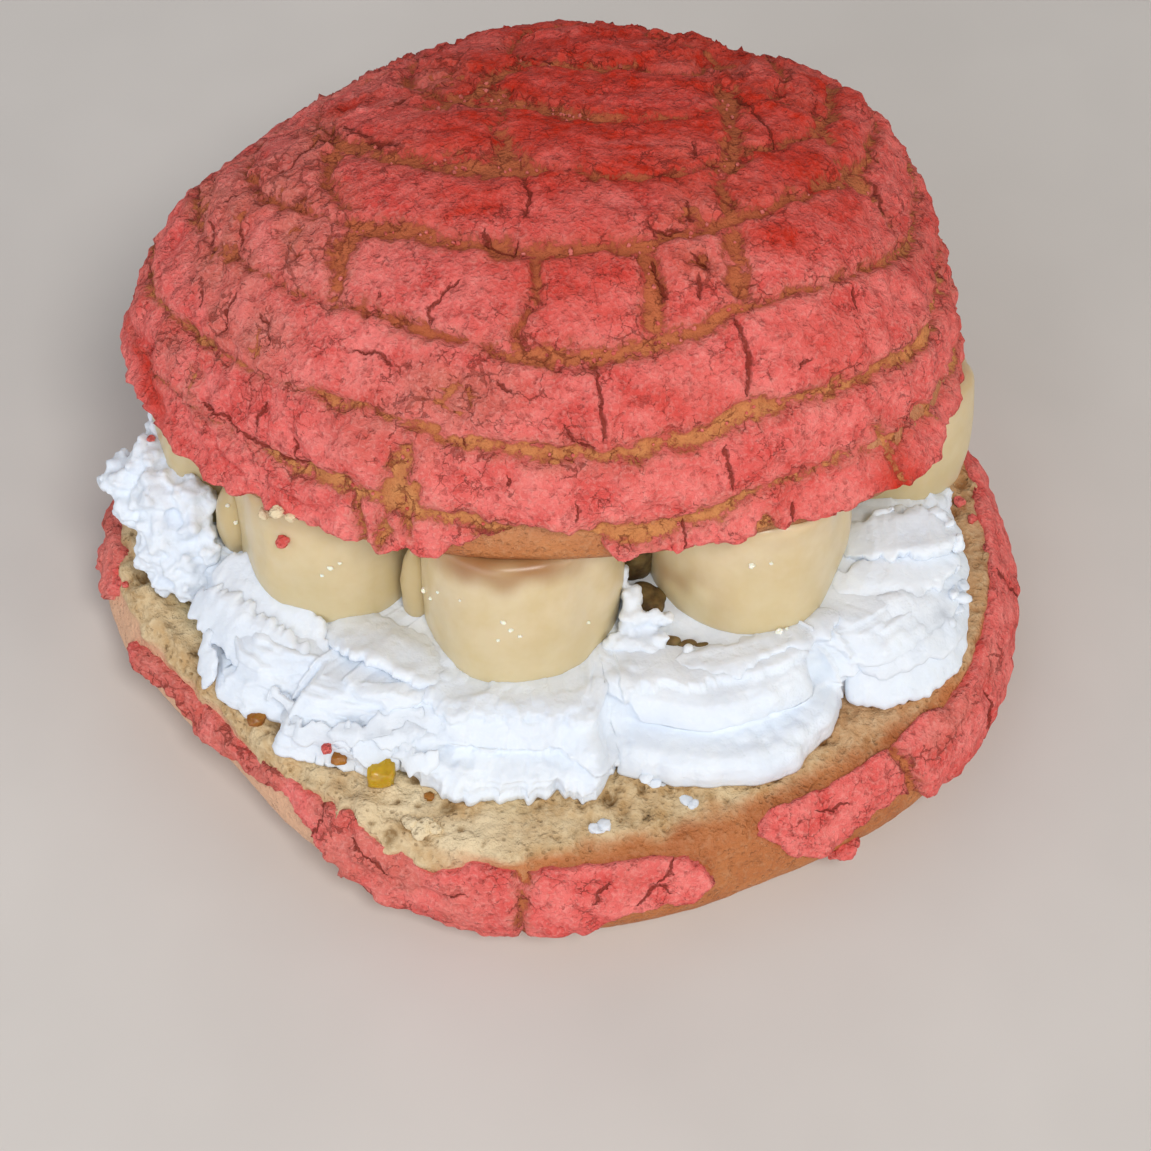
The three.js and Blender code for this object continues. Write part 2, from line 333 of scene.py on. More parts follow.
# thin wandering cracks that taper away, none where Amount is 0
def makeCracks():
    inputs = [("Size", numberSocket, 4.0), ("Width", numberSocket, 0.03), ("Amount", numberSocket, 1.0)]
    group, given, result = newGroup("hairCracks", inputs, [("Crack", numberSocket)])
    where = objectPlaces(group)
    scale = perMetre(group, given["Size"])
    wander = noiseNode(group, where, times(group, scale, 1.8), 4.0, 0.7)["Color"]
    half = (0.5, 0.5, 0.5)
    shift = addNode(group, "ShaderNodeVectorMath", {0: wander, 1: half}, operation="SUBTRACT").outputs[0]
    spread = times(group, given["Size"], 0.8 * mm)
    moved = addNode(group, "ShaderNodeVectorMath", {0: shift, "Scale": spread}, operation="SCALE").outputs[0]
    bent = addNode(group, "ShaderNodeVectorMath", {0: where, 1: moved}, operation="ADD").outputs[0]
    edges = {"Vector": bent, "Scale": scale}
    cells = addNode(group, "ShaderNodeTexVoronoi", edges, feature="DISTANCE_TO_EDGE")
    some = noiseNode(group, where, times(group, scale, 0.5), 3.0)[0]
    share = times(group, ramp(group, some, 0.5, 0.68), given["Amount"])
    width = maths(group, "MAXIMUM", times(group, given["Width"], share), 0.0001)
    inner = times(group, width, 0.3)
    group.links.new(ramp(group, cells.outputs["Distance"], inner, width, 1.0, 0.0), result["Crack"])
    return group


grainGroup = makeGrain()
driftGroup = makeDrift()
crackGroup = makeCracks()

# the edge colour is painted shadow under the tiles' edges; it also darkens patches of the scores' floors
crustTones = {"pink": "ee7d77", "deep": "da5651", "smear": "c72c15", "dust": "bd7361", "grain": "f8b6ac",
              # the crack colour is painted shade in the cracks
              # the pit colour is painted shade in small pits
              "pit": "a23c35", "crack": "7e2d20", "edge": "954130", "floor": "c26a45", "golden": "d28f59"}
crustLook = {"fineGrain": 0.5, "coarseGrain": 1.5, "drift": 4.5, "patch": 2.4, "hairSize": 2.2,
             "hairWidth": 0.14, "specks": 0.3, "specksLostInSmear": 0.22, "pits": 0.45, "cracks": 0.85,
             "hairs": 0.6, "specular": 0.12, "bumpHeight": 0.0005, "bumpStrength": 0.85}


# masks: nearCut is 0 well inside a tile, 2 at a score's edge and more in its floor
# crackSide is millimetres from a crack, with a sign for its side, and crackWidth its half width
def sugarCrustFinish():
    material, tree, shader = newMaterial("sugarCrustFinish")
    look, tones = crustLook, tonesOf(crustTones)
    grain = place(tree, grainGroup, Size=look["fineGrain"])
    coarse = place(tree, grainGroup, Size=look["coarseGrain"])
    drift = place(tree, driftGroup, Colour=tones["pink"], Second=tones["deep"], Size=look["drift"])
    patchy = place(tree, driftGroup, Size=look["patch"])
    mottled = ramp(tree, patchy["Share"], 0.0, 1.0, 0.68, 1.0)
    smearMask = mask(tree, "smear")
    crumbleMask = mask(tree, "crumble")
    cutMask = mask(tree, "nearCut")
    widthMask = mask(tree, "crackWidth")
    bigWander = minus(tree, coarse["Grain"], 0.45)
    fineWander = minus(tree, grain["Grain"], 0.45)
    inside = plus(tree, cutMask, plus(tree, times(tree, bigWander, 1.9), times(tree, fineWander, 1.3)))
    # pink that thins to tan dust near the scores and where the crust crumbles
    thinned = ramp(tree, inside, 0.5, 2.1, 0.0, 0.55)
    dusty = times(tree, crumbleMask, times(tree, mottled, 0.8))
    colour = mixTones(tree, maths(tree, "MAXIMUM", dusty, thinned), drift["Colour"], tones["dust"])
    # red smears, pale grains of sugar, and painted shade in small pits
    colour = mixTones(tree, times(tree, smearMask, mottled), colour, tones["smear"])
    calm = minus(tree, look["specks"], times(tree, smearMask, look["specksLostInSmear"]))
    colour = mixTones(tree, times(tree, grain["Specks"], calm), colour, tones["grain"])
    colour = mixTones(tree, times(tree, grain["Pits"], look["pits"]), colour, tones["pit"])
    # floor of the scores, with a border of painted shadow under the tiles' edges
    floor = mixTones(tree, mask(tree, "golden"), tones["floor"], tones["golden"])
    floor = mixTones(tree, times(tree, patchy["Share"], 0.3), floor, tones["edge"])
    border = maths(tree, "MINIMUM", ramp(tree, inside, 1.75, 2.05), ramp(tree, inside, 2.05, 2.6, 1.0, 0.0))
    colour = mixTones(tree, ramp(tree, inside, 1.9, 2.3), colour, floor)
    colour = mixTones(tree, times(tree, border, 0.5), colour, tones["edge"])
    # cracks along their lines, and hair cracks between them, darkened with painted shade
    jag = plus(tree, times(tree, bigWander, 1.1), times(tree, fineWander, 0.5))
    across = maths(tree, "ABSOLUTE", plus(tree, mask(tree, "crackSide"), jag))
    width = times(tree, widthMask, ramp(tree, patchy["Share"], 0.0, 1.0, 0.45, 1.5))
    outside = plus(tree, times(tree, width, 0.9), 0.06)
    line = ramp(tree, across, times(tree, width, 0.3), outside, 1.0, 0.0)
    line = times(tree, line, ramp(tree, widthMask, 0.02, 0.1))
    amount = maths(tree, "MAXIMUM", ramp(tree, crumbleMask, 0.0, 0.5, 0.2, 1.0),
                   ramp(tree, cutMask, 0.4, 1.6, 0.0, 0.8))
    hairs = place(tree, crackGroup, Size=look["hairSize"], Width=look["hairWidth"], Amount=amount)
    cracks = maths(tree, "MAXIMUM", times(tree, hairs["Crack"], look["hairs"]), line)
    colour = mixTones(tree, times(tree, cracks, look["cracks"]), colour, tones["crack"])
    tree.links.new(colour, shader.inputs["Base Color"])
    tree.links.new(ramp(tree, grain["Grain"], 0.3, 0.7, 0.65, 0.95), shader.inputs["Roughness"])
    shader.inputs["Specular IOR Level"].default_value = look["specular"]
    height = plus(tree, grain["Grain"], times(tree, coarse["Grain"], 0.8))
    height = minus(tree, height, times(tree, cracks, 0.8))
    bump(tree, shader, height, look["bumpHeight"], look["bumpStrength"])
    return material


# the pore colour is painted shade in the pores and small holes
breadTones = {"tan": "be7946", "amber": "b16a3c", "pale": "ecc6a6", "crumb": "d8c199", "crumbDark": "c09c6c",
              "light": "ead8b4", "poreShade": "8b6c42", "speck": "e6d2ac", "olive": "a99e6e"}
breadLook = {"grain": 0.8, "skinDrift": 9.0, "crumbDrift": 4.0, "pores": 0.85, "dotsPerMetre": 1150.0,
             "specular": 0.3, "bumpHeight": 0.0006, "bumpStrength": 0.8}


# masks: bake is 1 on brown skin, crumb 1 on the cut face, soak, light and the pore mask tint that face, the
# last with painted shade in the pores
def breadFinish():
    material, tree, shader = newMaterial("breadFinish")
    look, tones = breadLook, tonesOf(breadTones)
    crumb = mask(tree, "crumb")
    grain = place(tree, grainGroup, Size=look["grain"])
    skin = place(tree, driftGroup, Colour=tones["tan"], Second=tones["amber"], Size=look["skinDrift"])
    crust = mixTones(tree, mask(tree, "bake"), tones["pale"], skin["Colour"])
    inner = place(tree, driftGroup, Colour=tones["crumb"], Second=tones["crumbDark"], Size=look["crumbDrift"])
    colour = mixTones(tree, mask(tree, "soak"), inner["Colour"], tones["olive"])
    colour = mixTones(tree, mask(tree, "light"), colour, tones["light"])
    colour = mixTones(tree, times(tree, mask(tree, "poreShade"), look["pores"]), colour, tones["poreShade"])
    colour = mixTones(tree, crumb, crust, colour)
    specks = times(tree, grain["Specks"], ramp(tree, crumb, 0.0, 1.0, 0.1, 0.45))
    colour = mixTones(tree, specks, colour, tones["speck"])
    # dark dots of painted shade in small holes, also pressed in by the bump
    dotInputs = {"Vector": objectPlaces(tree), "Scale": look["dotsPerMetre"]}
    dots = addNode(tree, "ShaderNodeTexVoronoi", dotInputs).outputs["Distance"]
    holes = ramp(tree, dots, 0.12, 0.32, 1.0, 0.0)
    holes = times(tree, holes, ramp(tree, inner["Share"], 0.2, 0.9, 0.1, 0.5))
    colour = mixTones(tree, times(tree, holes, crumb), colour, tones["poreShade"])
    tree.links.new(colour, shader.inputs["Base Color"])
    tree.links.new(ramp(tree, crumb, 0.0, 1.0, 0.55, 0.9), shader.inputs["Roughness"])
    shader.inputs["Specular IOR Level"].default_value = look["specular"]
    bump(tree, shader, minus(tree, grain["Grain"], holes), look["bumpHeight"], look["bumpStrength"])
    return material


creamTones = {"white": "e8f0f9", "shade": "e0e9f4"}
creamLook = {"drift": 5.0, "grain": 1.1, "depth": 0.25, "depthColour": (1.0, 0.9, 0.8), "depthScale": 0.0015,
             "specular": 0.3, "bumpHeight": 0.00025, "bumpStrength": 0.5}


def creamFinish():
    material, tree, shader = newMaterial("creamFinish")
    look, tones = creamLook, tonesOf(creamTones)
    drift = place(tree, driftGroup, Colour=tones["white"], Second=tones["shade"], Size=look["drift"])
    grain = place(tree, grainGroup, Size=look["grain"])
    tree.links.new(drift["Colour"], shader.inputs["Base Color"])
    tree.links.new(ramp(tree, grain["Grain"], 0.3, 0.7, 0.5, 0.7), shader.inputs["Roughness"])
    shader.inputs["Subsurface Weight"].default_value = look["depth"]
    shader.inputs["Subsurface Radius"].default_value = look["depthColour"]
    shader.inputs["Subsurface Scale"].default_value = look["depthScale"]
    shader.inputs["Specular IOR Level"].default_value = look["specular"]
    bump(tree, shader, grain["Grain"], look["bumpHeight"], look["bumpStrength"])
    return material


# the shade mask paints shade in the green tone
# the stain colour is both a brown stain and painted shadow of the upper half on the slices' tops
bananaTones = {"flesh": "dccba7", "warm": "d5c196", "stainAndShadow": "9a6636", "green": "c6b684"}
bananaLook = {"drift": 5.0, "roughness": 0.3, "depth": 0.35, "depthColour": (1.0, 0.75, 0.4),
              "depthScale": 0.003, "bumpHeight": 0.0003, "bumpStrength": 0.05}


def bananaFinish():
    material, tree, shader = newMaterial("bananaFinish")
    look, tones = bananaLook, tonesOf(bananaTones)
    drift = place(tree, driftGroup, Colour=tones["flesh"], Second=tones["warm"], Size=look["drift"])
    ripe = mixTones(tree, mask(tree, "shade"), drift["Colour"], tones["green"])
    colour = mixTones(tree, mask(tree, "stainAndShadow"), ripe, tones["stainAndShadow"])
    tree.links.new(colour, shader.inputs["Base Color"])
    shader.inputs["Roughness"].default_value = look["roughness"]
    shader.inputs["Subsurface Weight"].default_value = look["depth"]
    shader.inputs["Subsurface Radius"].default_value = look["depthColour"]
    shader.inputs["Subsurface Scale"].default_value = look["depthScale"]
    bump(tree, shader, drift["Share"], look["bumpHeight"], look["bumpStrength"])
    return material


fruitLook = {"drift": 2.5, "grain": 1.2, "depth": 0.3, "depthScale": 0.002, "bumpHeight": 0.0003,
             "bumpStrength": 0.4}


def fruitFinish(name, first, second, low=0.25, high=0.5):   # two colours, and the range of its roughness
    material, tree, shader = newMaterial(name)
    drift = place(tree, driftGroup, Colour=tone(first), Second=tone(second), Size=fruitLook["drift"])
    grain = place(tree, grainGroup, Size=fruitLook["grain"])
    tree.links.new(drift["Colour"], shader.inputs["Base Color"])
    tree.links.new(ramp(tree, grain["Grain"], 0.3, 0.7, low, high), shader.inputs["Roughness"])
    shader.inputs["Subsurface Weight"].default_value = fruitLook["depth"]
    shader.inputs["Subsurface Scale"].default_value = fruitLook["depthScale"]
    bump(tree, shader, grain["Grain"], fruitLook["bumpHeight"], fruitLook["bumpStrength"])
    return material


sugarCrust = sugarCrustFinish()
bread = breadFinish()
creamWhite = creamFinish()
bananaFlesh = bananaFinish()
print("finishes ready")


# outlines that both halves follow

lower = {"reach": [60.2, 59, 59, 59, 59, 59.5, 61.5, 51.5, 51.4, 52.1, 52, 57.6], "mean": 57, "baseInset": 13,
         "widest": 8.5, "cut": 18, "rimInset": 4, "rimPower": 1.6, "facePerShare": 14, "faceMean": 50}
upper = {"reach": [51, 53.4, 49.6, 49.6, 49.7, 50.4, 55.8, 51.3, 46.6, 43.8, 45.8, 52.7], "height": 33,
         "place": (-0.6, 18.1, 38.8), "tilt": math.radians(-10), "shoulder": 0.71, "lean": 0.18, "crown": 1.1,
         "spread": 0.92, "disc": 60}


def tipped(points, origin=upper["place"]):   # from axes that tip with the upper half to the frame's
    c, s = math.cos(upper["tilt"]), math.sin(upper["tilt"])
    x, y, z = points[..., 0], points[..., 1], points[..., 2]
    return np.stack([x, y * c - z * s, y * s + z * c], -1) + np.array(origin)


domeMiddle = np.array([0, 0, 5.0])   # points inside each half, to tell out from in
lowerMiddle = np.array([0, 0, 9.0])


def dome(ring, angle):               # ring 0 is the crown, 1 the rim
    power = upper["shoulder"] - upper["lean"] * np.cos(angle)
    swing = math.pi / 2 * np.minimum(ring, 1) ** (upper["spread"] / power)
    radius = around(upper["reach"], angle) * np.sin(swing) ** power
    height = upper["height"] * np.maximum(np.cos(swing), 0) ** upper["crown"]
    return np.stack([radius * np.cos(angle), radius * np.sin(angle), height], -1)


def underside(y):                    # height of the upper half's cut face
    return upper["place"][2] + (y - upper["place"][1]) * math.tan(upper["tilt"])


# share 0 is the floor, 1 the cut rim; above 1 it runs in over the cut face
def lowerSide(share, angle):
    height = np.minimum(share, 1) * lower["cut"]
    below = np.minimum(height / lower["widest"], 1)
    above = np.maximum(height - lower["widest"], 0) / (lower["cut"] - lower["widest"])
    tuck = lower["baseInset"] * (1 - np.sqrt(1 - (1 - below) ** 2))
    tuck = tuck + lower["rimInset"] * above ** lower["rimPower"]
    radius = around(lower["reach"], angle) * (1 - tuck / lower["mean"])
    inward = np.maximum(share - 1, 0) * lower["facePerShare"] / lower["faceMean"]
    radius = radius * np.maximum(1 - inward, 0)
    return np.stack([radius * np.cos(angle), radius * np.sin(angle), height], -1)


def roundedSide(share, angle, soft):  # the same with its rim rounded over
    total = 0
    for step in (-1, -0.5, 0, 0.5, 1):
        total = total + lowerSide(np.maximum(share + step * soft, 0), angle)
    return total / 5


def signedTurn(angle):               # degrees from -180 to 180, the front at -90
    return (np.degrees(angle) + 180) % 360 - 180


# sugar crust of the upper half: the crust rolled out flat, x to the right and y to the back, rim at 60

topScores = {
    "spot": (4, 18),                 # the rings go round this point; reach and half width every 30 degrees
    "rings": [
        [13, 9, 7, 6.5, 7, 8, 9, 8.5, 7, 6.4, 6.8, 12],
        [19.5, 15, 12.5, 11.5, 12.5, 15.5, 19, 18.4, 16.5, 16.8, 18.5, 20.5],
        [26, 21, 17.5, 16, 18, 23, 29, 28.2, 25.8, 26.7, 26.5, 28],
        [32, 27, 22.5, 21, 23, 29, 34.5, 36.3, 36, 38.4, 34, 35],
        [39, 33, 28, 26.5, 29.5, 36, 42, 44, 46.4, 51.7, 44.8, 44.8],
        [45, 38, 33.5, 32, 35.5, 42.5, 50, 54, 57.4, 62.9, 56.5, 51],
        [49, 42.5, 38.5, 37.5, 41, 48, 57, 62, 67.4, 73, 64.8, 57.5],
    ],
    "widths": [
        [0.5, 0.5, 0.6, 0.6, 0.6, 0.5, 0.4, 0.6, 0.9, 1.0, 1.0, 0.6],
        [0.5, 0.7, 0.9, 0.8, 0.7, 0.8, 0.5, 0.4, 1.2, 0.35, 0.2, 0.3],
        [0.6, 0.8, 0.6, 0.9, 0.8, 0.5, 0.3, 0.7, 1.4, 0.15, 0.2, 0.5],
        [0.5, 0.8, 0.9, 0.6, 0.8, 0.9, 0.4, 0.7, 1.2, 1.0, 0.9, 0.5],
        [0.8, 0.7, 0.5, 0.8, 0.9, 0.7, 0.5, 0.6, 0.5, 1.2, 0.4, 0.4],
        [0.9, 0.9, 0.8, 0.6, 0.8, 0.9, 0.8, 1.3, 0.5, 1.2, 1.2, 0.9],
        [0.8, 0.6, 0.8, 0.9, 0.7, 0.8, 0.5, 0.5, 0.6, 1.7, 1.1, 1.0],
    ],
    "cuts": [                        # half width, then the points that a cut runs through
        (0.9, (-5.6, 7), (-4.4, 3.1)), (2.6, (17.2, 8), (18.2, 0.5)), (1.5, (18.4, -1.3), (16.9, -6)),
        (0.8, (-4.3, 2.1), (-4.1, -5.5)), (0.8, (-18.5, 0.5), (-19.4, -3.4), (-18.3, -8)),
        (0.8, (15.3, -6), (17.8, -14.1)), (1.5, (-18.4, -10.4), (-20.6, -13.3), (-21.5, -18)),
        (0.9, (-1.8, -20.8), (-2.2, -25.6), (-4.4, -31)),
        (1.2, (9.8, -20.5), (11.2, -23.4), (11.3, -29.5)), (1.2, (18.2, -16.4), (19.6, -23.7)),
        (0.8, (-40.9, -18.2), (-44.3, -21.6)), (2.4, (-19, -41), (-22, -45.4)),
        (1.3, (-22, -45.4), (-26.3, -51)), (0.9, (-26.5, -43.3), (-29.1, -51.4)),
        (1.2, (-18.6, -45.2), (-21.3, -50.4)), (0.6, (7.2, -54.5), (6.5, -59)),
        (1.3, (30.9, -47.6), (32.6, -52.6)), (1.1, (39.9, -31.8), (46.3, -34.3)),
        (2.3, (32.2, -1.6), (34.4, -4)), (1.2, (34.4, -4), (37, -6.4)), (0.7, (27.5, 7.4), (30.4, 2.4)),
        (1.5, (-10.4, 4.6), (-7.5, 8.1), (-4.4, 11.1)),
    ],
    "cracks": [                      # written like the cuts
        (0.3, (-3.4, -8), (-2.8, -11.3), (-3.4, -15.2)),
        (0.2, (-7.1, -14.5), (-7, -17.4), (-4.5, -19.5), (-3.9, -17.5)),
        (0.3, (-9.5, -21.3), (-11.7, -22.5), (-13.6, -26.6)), (0.2, (-17.4, -19.7), (-18, -21.5)),
        (0.25, (-30.5, -16.9), (-29.7, -18.9), (-30.7, -22.3)),
        (0.2, (-31.4, -13), (-34.5, -15), (-36.4, -17.3)), (0.2, (-36, -9.7), (-37.7, -12.6)),
        (0.2, (-28.9, -4.8), (-30.1, -8.6)), (0.2, (-32.8, -1.7), (-33.9, -5.7)),
        (0.2, (-31.3, -1.6), (-28, -1), (-22.7, -0.6), (-21.4, 2.1), (-19.2, 4.6)),
        (0.35, (-19.2, 4.6), (-14.6, 0.3), (-11.9, -1.5)),
        (0.3, (-14.9, 5.3), (-14.2, 7.7), (-11.2, 8.9)),
        (0.45, (-6.5, 17.3), (-3.3, 14.3), (-0.4, 12.5)), (0.25, (13.2, -2.6), (13.2, -5.6)),
        (0.25, (9.4, -15.9), (10.6, -17.7), (13.7, -16.6)), (0.25, (12.5, -11.5), (13.9, -16)),
        (0.25, (10.2, -20.9), (11.7, -25.2), (12.9, -26.9)), (0.2, (14, -19.7), (17.1, -22.3)),
        (0.25, (15.4, -22.4), (16.2, -26.5)), (0.25, (31, -18.6), (32.4, -21.9)),
        (0.35, (33.1, 0.9), (36.1, -1.3), (37.5, -5.6)), (0.25, (26.8, 9.2), (30.3, 6.7)),
        (0.25, (17.9, 8.3), (22, 1.5), (23.6, -3.5)),
        (0.25, (-21.9, -26.1), (-19.1, -27.8), (-18.1, -30.2)), (0.2, (-31.9, -33.1), (-33.5, -36.5)),
        (0.25, (-32.9, -27.6), (-37.5, -30.9)),
        (0.3, (-43.7, -22.7), (-38.3, -31), (-34.6, -35.9), (-29.8, -38.8)),
        (0.25, (-11.5, -40.2), (-11.7, -42.3)), (0.4, (-7.1, -34.8), (-5.2, -37.2)),
        (0.25, (-6.4, -45.8), (-6.3, -47.9)), (0.3, (4.6, -34.9), (5.5, -39.3), (6.1, -43.7)),
        (0.35, (3, -49.8), (3.2, -52.7)), (0.35, (21.7, -40.9), (24.1, -46.3)),
        (0.4, (19.9, -26.9), (22.5, -31.6), (22.9, -36)), (0.2, (29, -28.5), (27.5, -31.1)),
        (0.2, (19.3, -47.9), (19.9, -49.3)), (0.3, (18.6, -51.1), (20.1, -55.3)),
        (0.3, (33.2, -44.1), (34.6, -46.8)), (0.25, (0.4, -40.9), (2.7, -43.5), (5.4, -44.1)),
    ],
    "backBearings": [8, 36, 63, 92, 120, 150, 176],   # degrees round, for cuts behind the crown
    # ovals as x, y and two half sizes: bread bare at the front rim, slabs that stand full height where the
    # outline is sunk, crumbling crust and red smears; a blush also has a share
    "bareFront": (-5.5, -57.8, 12.5, 3.6),
    "proud": [(33.9, 16.2, 4, 4), (49.6, -10.6, 5, 4), (-7.6, 22.6, 2.2, 2.2), (-39, 7, 6, 5),
              (-46, -6, 6, 6), (2, 50, 8, 6), (38, 34, 6, 6), (-34, 36, 6, 6)],
    "crumbly": [(-14, -36, 10, 6), (14, -8.5, 6, 6), (13.5, -13.5, 4, 5), (15.4, -21, 3, 3),
                (-36, 2, 12, 9), (-27, -10, 9, 6), (-38, -14, 7, 8), (-22, 4, 8, 6), (-23, -4, 8, 5),
                (-31, -6, 8, 7), (-33, -20, 6, 5), (-12, 12, 8, 5), (1, -45.5, 7, 3), (20, 26, 9, 6),
                (-26, 26, 8, 7), (2, 44, 9, 5), (23, 5, 7, 6), (29, 13, 7, 5), (17, 15, 6, 4)],
    "smears": [(-7.2, -0.2, 4, 2.2), (4.1, 7.6, 8, 1.6), (22.5, -15.8, 5, 3), (5.7, -3.9, 8, 1.4),
               (-20.2, 10.3, 4, 2.5), (6, 0.2, 9, 1.0), (27, -7.5, 5, 1.8), (-8, -12, 6, 1.5),
               (30, 14, 6, 3), (-14, 30, 6, 3), (14, 40, 7, 3), (46, -35, 4, 5), (-52, -14, 2.5, 9)],
    "blushes": [(4, -22, 13, 9, 0.85), (14, -39, 9, 6, 0.5), (31, -25, 8, 6, 0.4), (31, -43, 8, 5, 0.3)],
}
crustShape = {
    "under": 2.9, "breadInset": 1.4, "top": 0.35, "floor": -0.6, "edge": 0.6, "narrow": 0.62, "sunk": 1.3,
    "steps": 640, "rings": 138, "rimRings": 8, "innerRings": 8, "innerDepth": 4.4, "frontPull": 0.3,
    "rubbleSize": 2.4, "splitDepth": 0.42, "pitSize": 2.3, "pitDepth": 0.25, "crackDip": 0.4,
    "crackLedge": 0.26, "slabSize": 8, "rimInset": 1.2,
    # noise as size, height and step of the seed
    "ragged": [(3.2, 0.6, 0), (1.4, 0.45, 5), (0.8, 0.25, 8)],
    "rough": [(3, 0.16, 1), (1.4, 0.23, 2), (0.8, 0.12, 4)],
    "swell": [(10, 0.3, 0)],
    "floorRough": [(2, 0.15, 6)],
    "rim": [(4, 1.0, 0), (1.6, 0.8, 1)],
    "closing": [(9, 0.5, 0), (3, 0.4, 1)],
    "lumps": [(2.6, 0.5, 0), (6, 0.6, 1), (1.3, 0.45, 2)],
}


def lineGap(x, y, half, points):
    gap = np.full(x.shape, farAway)
    for (x0, y0), (x1, y1) in zip(points, points[1:]):
        dx, dy = x1 - x0, y1 - y0
        t = np.clip(((x - x0) * dx + (y - y0) * dy) / (dx * dx + dy * dy), 0, 1)
        gap = np.minimum(gap, np.hypot(x - x0 - t * dx, y - y0 - t * dy))
    return gap - half


def backCuts():                      # short cuts across each row of tiles behind the crown
    draw = np.random.default_rng(7)
    spotX, spotY = topScores["spot"]
    reaches = topScores["rings"] + [[90] * 12]
    for inner, outer in zip(reaches[1:], reaches[2:]):
        for bearing in topScores["backBearings"]:
            angle = math.radians(bearing + draw.uniform(-9, 9))
            bend = angle + draw.uniform(-0.05, 0.05)
            near, far = float(around(inner, angle)), float(around(outer, angle))
            start = (spotX + near * math.cos(angle), spotY + near * math.sin(angle))
            end = (spotX + far * math.cos(bend), spotY + far * math.sin(bend))
            yield draw.uniform(0.2, 1.0), start, end


def topGap(x, y):                    # millimetres from the nearest score's edge, below 0 inside it
    spotX, spotY = topScores["spot"]
    bearing = np.arctan2(y - spotY, x - spotX)
    reach = np.hypot(x - spotX, y - spotY)
    gap = np.full(x.shape, farAway)
    for ring, width in zip(topScores["rings"], topScores["widths"]):
        half = around(width, bearing) * crustShape["narrow"]
        gap = np.minimum(gap, np.abs(reach - around(ring, bearing)) - half)
    for half, *points in topScores["cuts"] + list(backCuts()):
        gap = np.minimum(gap, lineGap(x, y, half * crustShape["narrow"], points))
    return gap


def crackField(x, y, cracks):        # signed millimetres across the nearest crack, and its half width
    nearest = np.full(x.shape, farAway)
    side = np.full(x.shape, 2.0)
    width = np.zeros(x.shape)
    for half, *points in cracks:
        lengths = [math.dist(a, b) for a, b in zip(points, points[1:])]
        walked = 0
        for (x0, y0), (x1, y1), length in zip(points, points[1:], lengths):
            dx, dy = (x1 - x0) / length, (y1 - y0) / length
            along = np.clip((x - x0) * dx + (y - y0) * dy, 0, length)
            far = np.hypot(x - x0 - along * dx, y - y0 - along * dy)
            across = (x - x0) * dy - (y - y0) * dx
            toEnd = np.minimum(walked + along, sum(lengths) - walked - along)
            closer = far < nearest
            nearest = np.where(closer, far, nearest)
            side = np.where(closer, np.copysign(np.minimum(far, 2), across), side)
            width = np.where(closer, half * smooth(toEnd, 0, 1.5), width)
            walked += length
    return side, width * (1 - smooth(nearest, 1.2, 2.0))


def ragged(points, seed):            # small sideways shifts that break up a straight edge
    return np.stack([layered(points, seed + axis, crustShape["ragged"]) for axis in range(3)], -1)


# how far the crust stands out, and where it is split
def crustRelief(points, gap, bare, crack, crumble, seed):
    shape = crustShape
    first, second, _ = cellNoise(points + ragged(points, seed + 3) * 0.6, shape["rubbleSize"], seed + 30)
    broken = np.maximum(crumble, smooth(-gap, -1.4, 0.2) * 0.55)
    rubble = (second - first) / 2 + np.maximum(0.8 - broken, 0) * 4
    split = 1 - smooth(rubble, 0.05, 0.4)
    pitFirst, _, pitTag = cellNoise(points, shape["pitSize"], seed + 40)
    pit = smooth(0.2 + 0.45 * pitTag ** 3 - pitFirst, 0, 0.3)
    rough = layered(points, seed, shape["rough"]) * (1 + 1.2 * crumble)
    top = shape["top"] + layered(points, seed, shape["swell"]) + rough - shape["pitDepth"] * pit
    top = top + 0.2 * smooth(gap, 0, 3) - 0.15 * crumble
    floor = shape["floor"] + layered(points, seed, shape["floorRough"])
    side, width = crack
    cracked = smooth(width, 0.02, 0.25)
    dip = shape["crackDip"] * np.exp(-(side / 0.55) ** 2) * cracked
    ledge = shape["crackLedge"] * side / (0.4 + np.abs(side)) * cracked
    height = floor + (top - floor) * smooth(gap, -0.25, shape["edge"])
    height = height - shape["splitDepth"] * split - dip + ledge
    under = -shape["under"]
    return under + (height - under) * smooth(bare, 0, 0.7), split


def crustMasks(crumble, split, crack, smear, nearCut, golden):
    side, width = crack
    return {"crumble": np.maximum(crumble, 0.4 * split), "crackSide": side, "crackWidth": width,
            "smear": smear, "nearCut": nearCut, "golden": golden}


def topSmears(x, y, base):           # red smears, and the streaky red over the crown
    streaks = smooth(softNoise(base * np.array([0.3, 1, 1]), 2.5, 145), -0.7, 0.6)
    crown = smooth(y, -24, -6) * (0.08 + 0.92 * smooth(x, -26, -4)) * (1 - 0.65 * smooth(x, 26, 40))
    for *blush, share in topScores["blushes"]:
        crown = np.maximum(crown, share * spots(x, y, [blush]))
    return np.maximum(spots(x, y, topScores["smears"]), crown * (0.6 + 0.4 * streaks))


def topSunk(x, y, ring, base):       # how far the crust's slabs sink at the back and the sides
    near, far, tag = cellNoise(base + ragged(base, 150), crustShape["slabSize"], 151)
    aside = np.maximum(smooth(y, -4, 14), smooth(np.abs(x), 26, 42)) * (1 - smooth(ring, 0.9, 0.97))
    uneven = 0.55 + 0.9 * tag * smooth(far - near, 0, 1)
    return aside * crustShape["sunk"] * (1 - spots(x, y, topScores["proud"])) * uneven


